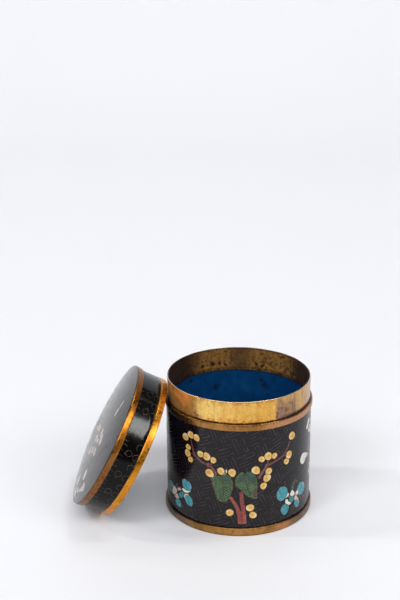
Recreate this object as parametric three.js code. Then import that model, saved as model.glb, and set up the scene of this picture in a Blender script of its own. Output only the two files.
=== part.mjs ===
// Cloisonné enamel box: a round, straight-sided box of enamelled copper with
// brass mounts and a loose cap lid, which stands on its edge and leans on the
// box's side.  Millimetres, +Z up.  The finished group stands on z = 0 with the
// middle of its outline over the origin.
import * as THREE from 'three';

// ---------------------------------------------------------------- sizes ----
const SEGMENTS = 72;              // facets round every turned piece

// box: enamelled copper vessel
const BODY_R = 40.0;              // enamel face of the wall
const BODY_SEAT_R = 39.4;         // bare step behind the foot and mouth mounts
const BODY_INNER_R = 38.0;        // inside face of the wall
const BODY_BASE_Z = 2.0;          // underside of the floor, above the table
const FLOOR_Z = 3.8;              // top of the floor
const FLOOR_FILLET = 3.0;         // sweep between floor and wall
const BODY_TOP_Z = 64.2;          // top edge of the vessel, under the collar

// foot rim: brass angle round the bottom edge
const FOOT_R = 41.0;
const FOOT_HEIGHT = 4.6;
const FOOT_INNER_R = 36.5;

// mouth rim: brass band that the closed lid lands on
const MOUTH_R = 40.63;
const MOUTH_LOW_Z = 61.5;
const MOUTH_TOP_Z = 65.3;
const FIT = 0.05;                 // radial clearance of a band on its seat

// collar: plain brass neck that the lid slides over
const COLLAR_R = 39.3;
const COLLAR_SHEET = 0.8;
const COLLAR_TOP_Z = 77.86;

// lid, along its own axis from the open edge (t = 0) to the dome
const LID_BORE_R = 39.45;         // slides over the collar
const LID_RIM_R = 40.66;          // lower brass rim
const LID_RIM_WIDTH = 3.4;
const LID_SIDE_R = 40.35;         // enamelled side
const LID_BAND_LOW_T = 14.46;     // shoulder band, from here ...
const LID_BAND_TOP_T = 18.14;     // ... to here
const LID_BAND_R = 41.3;
const LID_BAND_BORE_R = 40.25;
const LID_SEAT_R = 39.95;         // copper behind the shoulder band
const LID_DOME_R = 41.3;          // edge of the dome
const LID_DOME_RISE = 3.8;
const LID_DOME_POWER = 2.3;       // flatter in the middle than a ball
const LID_SHELL = 1.2;            // thickness of the dome
const GAP = 0.3;                  // clearance between turned neighbours

// where the lid leans: the way its dome looks, and its distance from the box
const LEAN_AZIMUTH = THREE.MathUtils.degToRad(184.99);
const LEAN_ELEVATION = THREE.MathUtils.degToRad(27.57);
const LEAN_CENTRE_X = -57.65;     // centre of the open edge, from the box axis
const LEAN_CENTRE_Y = -6.57;

// -------------------------------------------------------------- helpers ----
// A turned solid about +Z from a list of [radius, height].  The list runs round
// the section anticlockwise (outside face going up), so that faces point out.
function turned(section) {
  const onAxis = section[0][0] === 0;
  const points = section.map(([r, z]) => new THREE.Vector2(r, z));
  if (!onAxis) points.push(points[0].clone());
  const geometry = new THREE.LatheGeometry(points, SEGMENTS);
  geometry.rotateX(Math.PI / 2);
  return geometry;
}

function piece(name, geometry, color, roughness, metalness) {
  const material = new THREE.MeshStandardMaterial({ color, roughness, metalness });
  const mesh = new THREE.Mesh(geometry, material);
  mesh.name = name;
  return mesh;
}

// quarter sweep between two directions, without its first point
function sweep(cx, cz, r, from, to, steps) {
  const out = [];
  for (let i = 1; i <= steps; i += 1) {
    const a = THREE.MathUtils.degToRad(from + ((to - from) * i) / steps);
    out.push([cx + r * Math.cos(a), cz + r * Math.sin(a)]);
  }
  return out;
}

const domeHeight = (r) => LID_BAND_TOP_T
  + LID_DOME_RISE * (1 - (r / LID_DOME_R) ** LID_DOME_POWER);

// ------------------------------------------------------------------ box ----
const bodySection = [
  [0, BODY_BASE_Z],
  [BODY_SEAT_R, BODY_BASE_Z],
  [BODY_SEAT_R, FOOT_HEIGHT],
  [BODY_R, FOOT_HEIGHT],
  [BODY_R, MOUTH_LOW_Z],
  [BODY_SEAT_R, MOUTH_LOW_Z],
  [BODY_SEAT_R, BODY_TOP_Z],
  [BODY_INNER_R, BODY_TOP_Z],
  [BODY_INNER_R, FLOOR_Z + FLOOR_FILLET],
  ...sweep(BODY_INNER_R - FLOOR_FILLET, FLOOR_Z + FLOOR_FILLET, FLOOR_FILLET, 0, -90, 4),
  [0, FLOOR_Z],
];
const boxBody = piece('box_body', turned(bodySection), 0x2b2426, 0.22, 0.1);

const footSection = [
  [FOOT_INNER_R, 0],
  [FOOT_R - 0.5, 0],
  [FOOT_R - 0.1, 0.35],
  [FOOT_R, 0.9],
  [FOOT_R, FOOT_HEIGHT - 0.7],
  [FOOT_R - 0.3, FOOT_HEIGHT - 0.1],
  [FOOT_R - 0.7, FOOT_HEIGHT],
  [BODY_SEAT_R + FIT, FOOT_HEIGHT],
  [BODY_SEAT_R + FIT, BODY_BASE_Z],
  [FOOT_INNER_R, BODY_BASE_Z],
];
const footRim = piece('foot_rim', turned(footSection), 0xa07440, 0.42, 0.9);

const mouthSection = [
  [BODY_SEAT_R + FIT, MOUTH_LOW_Z],
  [MOUTH_R - 0.4, MOUTH_LOW_Z],
  [MOUTH_R - 0.08, MOUTH_LOW_Z + 0.25],
  [MOUTH_R, MOUTH_LOW_Z + 0.8],
  [MOUTH_R, MOUTH_TOP_Z - 0.6],
  [MOUTH_R - 0.15, MOUTH_TOP_Z - 0.15],
  [MOUTH_R - 0.5, MOUTH_TOP_Z],
  [BODY_SEAT_R + FIT, MOUTH_TOP_Z],
];
const mouthRim = piece('mouth_rim', turned(mouthSection), 0xa5783c, 0.4, 0.9);

const collarSection = [
  [COLLAR_R - COLLAR_SHEET, BODY_TOP_Z],
  [COLLAR_R, BODY_TOP_Z],
  [COLLAR_R, COLLAR_TOP_Z - 0.35],
  [COLLAR_R - 0.15, COLLAR_TOP_Z - 0.06],
  [COLLAR_R - COLLAR_SHEET / 2, COLLAR_TOP_Z],
  [COLLAR_R - COLLAR_SHEET + 0.15, COLLAR_TOP_Z - 0.06],
  [COLLAR_R - COLLAR_SHEET, COLLAR_TOP_Z - 0.35],
];
const collar = piece('collar', turned(collarSection), 0xd7a555, 0.36, 0.95);

const box = new THREE.Group();
box.add(boxBody, footRim, mouthRim, collar);

// ------------------------------------------------------------------ lid ----
const rimSection = [
  [LID_BORE_R, 0],
  [LID_RIM_R - 0.15, 0],
  [LID_RIM_R, 0.2],
  [LID_RIM_R - 0.02, LID_RIM_WIDTH - 0.4],
  [LID_RIM_R - 0.25, LID_RIM_WIDTH],
  [LID_BORE_R, LID_RIM_WIDTH],
];
const lidLowerRim = piece('lid_lower_rim', turned(rimSection), 0xc98a2e, 0.34, 0.95);

const sideStart = LID_RIM_WIDTH + GAP;
const sideTop = LID_BAND_LOW_T - GAP;
const innerDome = (r) => domeHeight(r) - LID_SHELL;
const domeRadii = [0.985, 0.94, 0.86, 0.72, 0.52, 0.27].map((k) => k * LID_DOME_R);
const lidSection = [
  [0, innerDome(0)],
  ...[0.3, 0.58, 0.8].map((k) => k * LID_BORE_R).map((r) => [r, innerDome(r)]),
  [LID_BORE_R - 1.4, innerDome(LID_BORE_R - 1.4)],
  [LID_BORE_R, LID_BAND_LOW_T + 1.2],
  [LID_BORE_R, sideStart],
  [LID_SIDE_R, sideStart],
  [LID_SIDE_R, sideTop],
  [LID_SEAT_R, sideTop],
  [LID_SEAT_R, LID_BAND_TOP_T - 0.1],
  [LID_DOME_R - 0.1, LID_BAND_TOP_T - 0.1],
  ...domeRadii.map((r) => [r, domeHeight(r)]),
  [0, domeHeight(0)],
];
const lidBody = piece('lid_body', turned(lidSection), 0x2a2628, 0.2, 0.1);

const bandTop = LID_BAND_TOP_T - 0.1 - GAP;
const bandSection = [
  [LID_BAND_BORE_R, LID_BAND_LOW_T],
  [LID_BAND_R - 0.5, LID_BAND_LOW_T],
  [LID_BAND_R - 0.25, LID_BAND_LOW_T + 0.3],
  [LID_BAND_R, bandTop - 0.5],
  [LID_BAND_R - 0.1, bandTop],
  [LID_BAND_BORE_R, bandTop],
];
const lidShoulderBand = piece('lid_shoulder_band', turned(bandSection), 0xb98033, 0.36, 0.95);

// The lid stands on the edge of its lower rim: its centre is as high as the
// deepest corner of that rim's section asks for.
const lid = new THREE.Group();
lid.add(lidBody, lidLowerRim, lidShoulderBand);
const axis = new THREE.Vector3(
  Math.cos(LEAN_ELEVATION) * Math.cos(LEAN_AZIMUTH),
  Math.cos(LEAN_ELEVATION) * Math.sin(LEAN_AZIMUTH),
  Math.sin(LEAN_ELEVATION),
);
const level = new THREE.Vector3(-Math.sin(LEAN_AZIMUTH), Math.cos(LEAN_AZIMUTH), 0);
const upward = new THREE.Vector3().crossVectors(axis, level);
lid.setRotationFromMatrix(new THREE.Matrix4().makeBasis(level, upward, axis));
const centreHeight = Math.max(...rimSection.map(
  ([r, t]) => r * Math.cos(LEAN_ELEVATION) - t * Math.sin(LEAN_ELEVATION),
));
lid.position.set(LEAN_CENTRE_X, LEAN_CENTRE_Y, centreHeight);

// ------------------------------------------------------------- the whole ----
const enamelBox = new THREE.Group();
enamelBox.add(box, lid);
const outline = new THREE.Box3().setFromObject(enamelBox, true);
enamelBox.position.set(
  -(outline.min.x + outline.max.x) / 2,
  -(outline.min.y + outline.max.y) / 2,
  0,
);
enamelBox.updateMatrixWorld(true);

export default enamelBox;
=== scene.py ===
import math
import random

import bpy
import numpy as np
from mathutils import Matrix, Vector, geometry


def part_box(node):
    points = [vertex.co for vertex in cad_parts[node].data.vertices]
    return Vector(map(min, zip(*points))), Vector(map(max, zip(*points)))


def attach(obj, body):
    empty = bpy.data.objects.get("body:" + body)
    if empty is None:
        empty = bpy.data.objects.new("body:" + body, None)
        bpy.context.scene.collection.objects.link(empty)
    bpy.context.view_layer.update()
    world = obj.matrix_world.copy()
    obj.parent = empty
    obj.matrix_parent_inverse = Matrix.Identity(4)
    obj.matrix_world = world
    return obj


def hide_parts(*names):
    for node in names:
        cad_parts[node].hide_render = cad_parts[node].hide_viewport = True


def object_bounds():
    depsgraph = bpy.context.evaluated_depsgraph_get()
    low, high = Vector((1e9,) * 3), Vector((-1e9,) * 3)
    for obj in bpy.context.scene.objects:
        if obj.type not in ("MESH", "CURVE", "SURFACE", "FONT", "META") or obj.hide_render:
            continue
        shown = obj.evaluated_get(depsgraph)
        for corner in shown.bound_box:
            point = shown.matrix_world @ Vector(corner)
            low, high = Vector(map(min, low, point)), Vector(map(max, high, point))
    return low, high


random.seed(7)
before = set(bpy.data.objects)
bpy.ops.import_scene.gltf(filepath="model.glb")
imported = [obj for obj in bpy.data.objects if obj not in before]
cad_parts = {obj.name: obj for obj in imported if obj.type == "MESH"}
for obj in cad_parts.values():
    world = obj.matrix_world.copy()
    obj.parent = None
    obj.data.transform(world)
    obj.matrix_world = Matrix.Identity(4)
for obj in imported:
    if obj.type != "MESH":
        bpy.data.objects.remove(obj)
cad_lo, cad_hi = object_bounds()
MM = 0.001
root = "root"

# ------------------------------------------------------------------ frame ----
f_lo, f_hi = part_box("foot_rim")
X0 = (f_lo[0] + f_hi[0]) / 2 / MM          # the box's axis, in mm
Y0 = (f_lo[1] + f_hi[1]) / 2 / MM
WALL_R = 40.0
CIRC = 2 * math.pi * WALL_R
Z_LOW, Z_HIGH = 4.6, 61.5

# the lid's own axes: E1 level, E2 up the lean, AX out through the dome
AZ, EL = math.radians(184.99), math.radians(27.57)
AX = np.array([math.cos(EL) * math.cos(AZ), math.cos(EL) * math.sin(AZ), math.sin(EL)])
E1 = np.array([-math.sin(AZ), math.cos(AZ), 0.0])
E2 = np.cross(AX, E1)
RIM_R = 40.66
LID_C = np.array([X0 - 57.65, Y0 - 6.57,
                  max(r * math.cos(EL) - t * math.sin(EL) for r, t in ((RIM_R - 0.15, 0), (RIM_R, 0.2)))])
SIDE_R = 40.35
DOME_R, DOME_T, DOME_H, DOME_P = 41.3, 18.14, 3.8, 2.3
TH0 = math.radians(23.8)                   # the side facing the main view


def dome_t(r):
    return DOME_T + DOME_H * (1 - (np.minimum(r, DOME_R) / DOME_R) ** DOME_P)


def wob(u, v, k=1.0):
    """slow unevenness of a hand-raised wall, about +-1"""
    return (np.sin(u * 0.11 * k + 1.3) * np.cos(v * 0.09 * k + 0.4)
            + 0.6 * np.sin(u * 0.23 * k - v * 0.17 * k + 2.1) + 0.4 * np.sin(v * 0.31 * k + 0.7)) / 2


def map_wall(uvh):
    s, z, h = uvh[:, 0], uvh[:, 1], uvh[:, 2]
    th = s / WALL_R
    k = 2 * math.pi / CIRC
    r = WALL_R - 0.06 + h + 0.05 * (np.sin(6 * s * k + 0.05 * z) * 0.6 + np.sin(11 * s * k + 0.09 * z + 1) * 0.4)
    return np.stack([X0 + r * np.sin(th), Y0 - r * np.cos(th), z], -1) * MM


def map_side(uvh):
    s, t, h = uvh[:, 0], uvh[:, 1], uvh[:, 2]
    th = TH0 - s / SIDE_R
    r = SIDE_R + h
    return (LID_C + t[:, None] * AX + (r * np.cos(th))[:, None] * E1 + (r * np.sin(th))[:, None] * E2) * MM


def map_dome(uvh):
    p, q, h = uvh[:, 0], uvh[:, 1], uvh[:, 2]
    r = np.hypot(p, q)
    t = dome_t(r) + h - 0.06
    return (LID_C + t[:, None] * AX + p[:, None] * E1 + q[:, None] * E2) * MM


# ------------------------------------------------------------- mesh making ----
class Build:
    """Collects closed solids on a curved surface: (u, v, height) points in mm."""

    def __init__(self, mapping, flip=False):
        self.map, self.flip = mapping, flip
        self.p, self.f, self.m, self.n, self.t = [], [], [], 0, []

    def add(self, pts, faces, mat=0, tone=0.5):
        self.p.append(np.asarray(pts, float))
        self.t.append(np.broadcast_to(np.asarray(tone, float), (len(pts),)))
        self.f.extend([tuple(i + self.n for i in f) for f in faces])
        self.m.extend([mat] * len(faces))
        self.n += len(pts)

    def make(self, name, mats, slot, smooth=40):
        P = self.map(np.vstack(self.p))
        F = [f[::-1] for f in self.f] if self.flip else self.f
        ob = solid(name, P, F, mats, self.m, smooth)
        ob.data.attributes.new("tone", "FLOAT", "POINT").data.foreach_set("value", np.concatenate(self.t).astype(np.float32))
        return ob


def solid(name, P, F, mats, mat_index=None, smooth=40):
    me = bpy.data.meshes.new(name)
    me.from_pydata([tuple(map(float, p)) for p in P], [], [tuple(map(int, f)) for f in F])
    me.validate()
    for m in mats:
        me.materials.append(m)
    if mat_index is not None:
        me.polygons.foreach_set("material_index", mat_index)
    me.polygons.foreach_set("use_smooth", [True] * len(me.polygons))
    me.update()
    me.set_sharp_from_angle(angle=math.radians(smooth))
    ob = bpy.data.objects.new(name, me)
    bpy.context.scene.collection.objects.link(ob)
    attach(ob, root)
    return ob


def lathe(section, seg, closed, place, seg_mat=None, wobble=None, phase=0.0):
    """A turned body from (r, z, material of the stretch that follows).  place maps (r, angle, z) arrays to mm."""
    n = len(section)
    R = np.array([a[0] for a in section], float)
    Z = np.array([a[1] for a in section], float)
    M = [a[2] if len(a) > 2 else 0 for a in section]
    ang = np.linspace(0, 2 * math.pi, seg, endpoint=False) + phase
    pts, idx = [], {}
    faces, mats = [], []
    k = 0
    for i in range(n):
        if R[i] < 1e-6:
            pts.append(place(np.array([0.0]), np.array([0.0]), np.array([Z[i]]))); idx[i] = (k, True); k += 1
        else:
            rr = np.full(seg, R[i]); zz = np.full(seg, Z[i])
            if wobble is not None:
                rr, zz = wobble(rr, ang, zz)
            pts.append(place(rr, ang, zz)); idx[i] = (k, False); k += seg
    last = n if closed else n - 1
    for i in range(last):
        a, pa = idx[i]; b, pb = idx[(i + 1) % n]
        for j in range(seg):
            j2 = (j + 1) % seg
            if pa and pb:
                continue
            if pa:
                faces.append((a, b + j2, b + j))
            elif pb:
                faces.append((a + j, a + j2, b))
            else:
                faces.append((a + j, a + j2, b + j2, b + j))
            mats.append(M[i])
    return np.vstack(pts), faces, mats


def box_place(r, a, z):
    return np.stack([X0 + r * np.cos(a), Y0 + r * np.sin(a), z], -1) * MM


def lid_place(r, a, t):
    return (LID_C + t[:, None] * AX + (r * np.cos(a))[:, None] * E1 + (r * np.sin(a))[:, None] * E2) * MM


# ---------------------------------------------------------------- 2-D tools ----
def smooth_loop(pts, n=8):
    """Catmull-Rom through a closed list of points"""
    P = np.array(pts, float); out = []
    m = len(P)
    for i in range(m):
        a, b, c, d = P[i - 1], P[i], P[(i + 1) % m], P[(i + 2) % m]
        for k in range(n):
            t = k / n
            out.append(0.5 * ((2 * b) + (c - a) * t + (2 * a - 5 * b + 4 * c - d) * t * t + (3 * b - a - 3 * c + d) * t ** 3))
    return np.array(out)


def smooth_line(pts, n=8):
    P = [np.array(p, float) for p in pts]
    P = [2 * P[0] - P[1]] + P + [2 * P[-1] - P[-2]]
    out = []
    for i in range(1, len(P) - 2):
        a, b, c, d = P[i - 1], P[i], P[i + 1], P[i + 2]
        for k in range(n):
            t = k / n
            out.append(0.5 * ((2 * b) + (c - a) * t + (2 * a - 5 * b + 4 * c - d) * t * t + (3 * b - a - 3 * c + d) * t ** 3))
    out.append(P[-2])
    return np.array(out)


def circle(c, r, n=20, wobble=0.04, seed=0):
    rng = np.random.RandomState(seed + 11)
    a = np.linspace(0, 2 * math.pi, n, endpoint=False)
    ph = rng.uniform(0, 6.28, 3)
    rr = r * (1 + wobble * np.sin(2 * a + ph[0]) + wobble * 0.5 * np.sin(3 * a + ph[1]))
    return np.stack([c[0] + rr * np.cos(a), c[1] + rr * np.sin(a)], -1)


def drop(c, r, point_to, sharp=1.5, n=24):
    """a round drop whose tip looks toward an angle in degrees"""
    a0 = math.radians(point_to)
    a = np.linspace(0, 2 * math.pi, n, endpoint=False)
    rr = r * (1 + (sharp - 1) * np.maximum(0, np.cos(a)) ** 6)
    return np.stack([c[0] + rr * np.cos(a + a0), c[1] + rr * np.sin(a + a0)], -1)


def ribbon(line, w0, w1=None):
    """outline of a strip of changing width round a line"""
    L = np.array(line, float)
    w1 = w0 if w1 is None else w1
    d = np.gradient(L, axis=0); d /= np.maximum(np.hypot(*d.T), 1e-9)[:, None]
    nrm = np.stack([-d[:, 1], d[:, 0]], -1)
    w = np.linspace(w0, w1, len(L))[:, None] / 2
    return np.vstack([L + nrm * w, (L - nrm * w)[::-1]])


def inside(poly, P):
    x, y = P[:, 0], P[:, 1]
    r = np.zeros(len(P), bool)
    q = np.roll(poly, -1, 0)
    for (x0, y0), (x1, y1) in zip(poly, q):
        if y0 == y1:
            continue
        c = ((y0 > y) != (y1 > y)) & (x < (x1 - x0) * (y - y0) / (y1 - y0) + x0)
        r ^= c
    return r


def area2(p):
    q = np.roll(p, -1, 0)
    return (p[:, 0] * q[:, 1] - q[:, 0] * p[:, 1]).sum()


def cell(b, poly, top=0.02, base=-0.2, grid=1.1, mat=0, dish=0.0, tone=None):
    """one fired cell of enamel: a thin closed solid that follows the surface; tone(points, distance to the edge) is 0 to 1"""
    poly = np.array(poly, float)
    if area2(poly) < 0:
        poly = poly[::-1]
    lo, hi = poly.min(0), poly.max(0)
    gx = np.arange(lo[0] + grid / 2, hi[0], grid); gy = np.arange(lo[1] + grid / 2, hi[1], grid)
    inner = np.zeros((0, 2))
    if len(gx) and len(gy):
        G = np.array(np.meshgrid(gx, gy)).reshape(2, -1).T
        G = G[inside(poly, G)]
        if len(G):
            d = np.min(np.hypot(G[:, None, 0] - poly[None, :, 0], G[:, None, 1] - poly[None, :, 1]), axis=1)
            inner = G[d > grid * 0.42]
    V = np.vstack([poly, inner])
    n = len(poly)
    res = geometry.delaunay_2d_cdt([Vector(p) for p in V], [(i, (i + 1) % n) for i in range(n)], [], 1, 1e-5)
    W = np.array([tuple(p) for p in res[0]]); T = res[2]
    if len(T) == 0:
        return
    edges = {}
    for t in T:
        for i in range(len(t)):
            e = (t[i], t[(i + 1) % len(t)])
            edges[e] = edges.get(e, 0) + 1
    rim = [e for e in edges if (e[1], e[0]) not in edges]
    used = sorted({i for t in T for i in t}); remap = {a: i for i, a in enumerate(used)}
    W = W[used]; m = len(W)
    d = np.min(np.hypot(W[:, None, 0] - poly[None, :, 0], W[:, None, 1] - poly[None, :, 1]), axis=1)
    h = top - dish * (1 - np.exp(-d / 0.5))
    pts = np.vstack([np.column_stack([W, h]), np.column_stack([W, np.full(m, base)])])
    faces = [tuple(remap[i] for i in t) for t in T]
    a0 = sum(np.cross(W[f[1]] - W[f[0]], W[f[2]] - W[f[0]]) for f in faces)
    if a0 < 0:
        faces = [f[::-1] for f in faces]; rim = [(y, x) for x, y in rim]
    faces += [tuple(i + m for i in f[::-1]) for f in faces]
    faces += [(remap[y], remap[x], remap[x] + m, remap[y] + m) for x, y in rim]
    tn = 0.5 if tone is None else np.tile(np.broadcast_to(tone(W, d), (m,)), 2)
    b.add(pts, faces, mat, tn)


def wire(b, line, w=0.26, top=0.06, base=-0.15, closed=False, mat=0, step=None, flat=False):
    """one soldered wire standing on edge, ground flush with a softly rounded crest"""
    L = np.array(line, float)
    if len(L) < 2:
        return
    if closed:
        d = np.roll(L, -1, 0) - np.roll(L, 1, 0)
        prv, nxt = L - np.roll(L, 1, 0), np.roll(L, -1, 0) - L
    else:
        prv = np.vstack([L[1] - L[0], L[1:] - L[:-1]]); nxt = np.vstack([L[1:] - L[:-1], L[-1] - L[-2]])
    prv = prv / np.maximum(np.hypot(*prv.T), 1e-9)[:, None]; nxt = nxt / np.maximum(np.hypot(*nxt.T), 1e-9)[:, None]
    d = prv + nxt
    ln = np.hypot(*d.T)
    d = np.where(ln[:, None] < 1e-3, nxt, d / np.maximum(ln, 1e-9)[:, None])
    nrm = np.stack([-d[:, 1], d[:, 0]], -1)
    cosv = np.clip((nrm * np.stack([-nxt[:, 1], nxt[:, 0]], -1)).sum(1), 0.45, 1)
    off = nrm * (w / 2 / cosv)[:, None]
    n = len(L)
    z = np.zeros(n)
    if flat:
        rows = [(off, base), (off, top), (-off, top), (-off, base)]
    else:
        rows = [(off, base), (off * 0.98, top * 0.55), (off * 0.45, top), (-off * 0.45, top), (-off * 0.98, top * 0.55), (-off, base)]
    k = len(rows)
    pts = np.zeros((n, k, 3))
    for j, (o, h) in enumerate(rows):
        pts[:, j, :2] = L + o; pts[:, j, 2] = h
    faces = []
    m = n if closed else n - 1
    for i in range(m):
        a, c = i * k, ((i + 1) % n) * k
        for j in range(k):
            j2 = (j + 1) % k
            faces.append((a + j, a + j2, c + j2, c + j))
    if not closed:
        faces.append(tuple(range(k - 1, -1, -1)))
        faces.append(tuple((n - 1) * k + j for j in range(k)))
    b.add(pts.reshape(-1, 3), faces, mat)


# --------------------------------------------------------------- materials ----
def rgb(r, g, b):
    """display colour 0-255 to linear"""
    def one(v):
        v = v / 255
        return v / 12.92 if v <= 0.04045 else ((v + 0.055) / 1.055) ** 2.4
    return (one(r), one(g), one(b), 1.0)


class Nodes:
    def __init__(self, name):
        self.mat = bpy.data.materials.new(name)
        self.mat.use_nodes = True
        self.t = self.mat.node_tree
        self.t.nodes.clear()
        out = self.t.nodes.new("ShaderNodeOutputMaterial")
        self.b = self.t.nodes.new("ShaderNodeBsdfPrincipled")
        self.t.links.new(self.b.outputs[0], out.inputs["Surface"])
        co = self.t.nodes.new("ShaderNodeTexCoord").outputs["Object"]
        self.mm = self.vec("MULTIPLY", co, (1000, 1000, 1000))

    def put(self, socket, v):
        if isinstance(v, bpy.types.NodeSocket):
            self.t.links.new(v, socket)
        else:
            socket.default_value = v

    def vec(self, op, a, b=None, out="Vector"):
        n = self.t.nodes.new("ShaderNodeVectorMath"); n.operation = op
        self.put(n.inputs[0], a)
        if b is not None:
            self.put(n.inputs[1], b)
        return n.outputs[out]

    def math(self, op, a, b=None, c=None, clamp=False):
        n = self.t.nodes.new("ShaderNodeMath"); n.operation = op; n.use_clamp = clamp
        self.put(n.inputs[0], a)
        if b is not None:
            self.put(n.inputs[1], b)
        if c is not None:
            self.put(n.inputs[2], c)
        return n.outputs[0]

    def mix(self, f, a, b, blend="MIX"):
        n = self.t.nodes.new("ShaderNodeMix"); n.data_type = "RGBA"; n.blend_type = blend
        self.put(n.inputs[0], f); self.put(n.inputs[6], a); self.put(n.inputs[7], b)
        return n.outputs[2]

    def noise(self, scale, detail=4.0, rough=0.55, dist=0.0, at=None):
        n = self.t.nodes.new("ShaderNodeTexNoise")
        self.put(n.inputs["Vector"], self.mm if at is None else at)
        n.inputs["Scale"].default_value = scale; n.inputs["Detail"].default_value = detail
        n.inputs["Roughness"].default_value = rough; n.inputs["Distortion"].default_value = dist
        return n.outputs["Fac"]

    def cells(self, scale, at=None, rand=1.0):
        n = self.t.nodes.new("ShaderNodeTexVoronoi")
        self.put(n.inputs["Vector"], self.mm if at is None else at)
        n.inputs["Scale"].default_value = scale; n.inputs["Randomness"].default_value = rand
        return n.outputs["Distance"], n.outputs["Color"]

    def step(self, x, lo, hi, a=0.0, b=1.0):
        n = self.t.nodes.new("ShaderNodeMapRange"); n.interpolation_type = "SMOOTHSTEP"
        self.put(n.inputs[0], x)
        n.inputs[1].default_value = lo; n.inputs[2].default_value = hi
        n.inputs[3].default_value = a; n.inputs[4].default_value = b
        return n.outputs[0]

    def ramp(self, x, stops):
        n = self.t.nodes.new("ShaderNodeValToRGB")
        r = n.color_ramp
        while len(r.elements) < len(stops):
            r.elements.new(0.5)
        for e, (p, c) in zip(r.elements, sorted(stops, key=lambda s: s[0])):
            e.position = p; e.color = c
        self.put(n.inputs[0], x)
        return n.outputs[0]

    def attr(self, name):
        n = self.t.nodes.new("ShaderNodeAttribute"); n.attribute_name = name
        return n.outputs["Fac"]

    def shift(self, v, by):
        return self.vec("ADD", v, by)

    def stretch(self, v, by):
        return self.vec("MULTIPLY", v, by)

    def bump(self, parts, strength=0.3):
        """parts: list of (height socket in mm)"""
        h = parts[0]
        for p in parts[1:]:
            h = self.math("ADD", h, p)
        n = self.t.nodes.new("ShaderNodeBump")
        n.inputs["Strength"].default_value = strength
        n.inputs["Distance"].default_value = 0.001
        self.put(n.inputs["Height"], h)
        self.t.links.new(n.outputs[0], self.b.inputs["Normal"])

    def turned(self, lid=False):
        """local position on the turned part (mm), its angle in degrees, its radius and its height"""
        if lid:
            d = self.vec("SUBTRACT", self.mm, tuple(LID_C))
            x = self.vec("DOT_PRODUCT", d, tuple(E1), "Value"); y = self.vec("DOT_PRODUCT", d, tuple(E2), "Value")
            z = self.vec("DOT_PRODUCT", d, tuple(AX), "Value")
            ang = self.math("ARCTAN2", y, x)
        else:
            s = self.t.nodes.new("ShaderNodeSeparateXYZ"); self.put(s.inputs[0], self.vec("SUBTRACT", self.mm, (X0, Y0, 0)))
            x, y, z = s.outputs
            ang = self.math("ARCTAN2", x, self.math("MULTIPLY", y, -1.0))
        c = self.t.nodes.new("ShaderNodeCombineXYZ")
        self.put(c.inputs[0], x); self.put(c.inputs[1], y); self.put(c.inputs[2], z)
        r = self.math("SQRT", self.math("ADD", self.math("MULTIPLY", x, x), self.math("MULTIPLY", y, y)))
        return c.outputs[0], self.math("MULTIPLY", ang, 57.29578), r, z

    def spot(self, place, size, edge=0.5, rough=None, grow=1.0):
        """soft-edged blotch round a point (mm); rough is a noise that frays its edge"""
        d = self.vec("DISTANCE", self.mm, place, "Value")
        if rough is not None:
            d = self.math("ADD", d, self.math("MULTIPLY", self.math("SUBTRACT", rough, 0.5), 2.2 * size * grow))
        return self.step(d, size, size * edge)


def wall_point(deg, z, r=40.0):
    a = math.radians(deg)
    return (X0 + r * math.sin(a), Y0 - r * math.cos(a), z)


def lid_point(p, q):
    r = math.hypot(p, q)
    return tuple(LID_C + float(dome_t(np.array([r]))[0]) * AX + p * E1 + q * E2)


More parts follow.
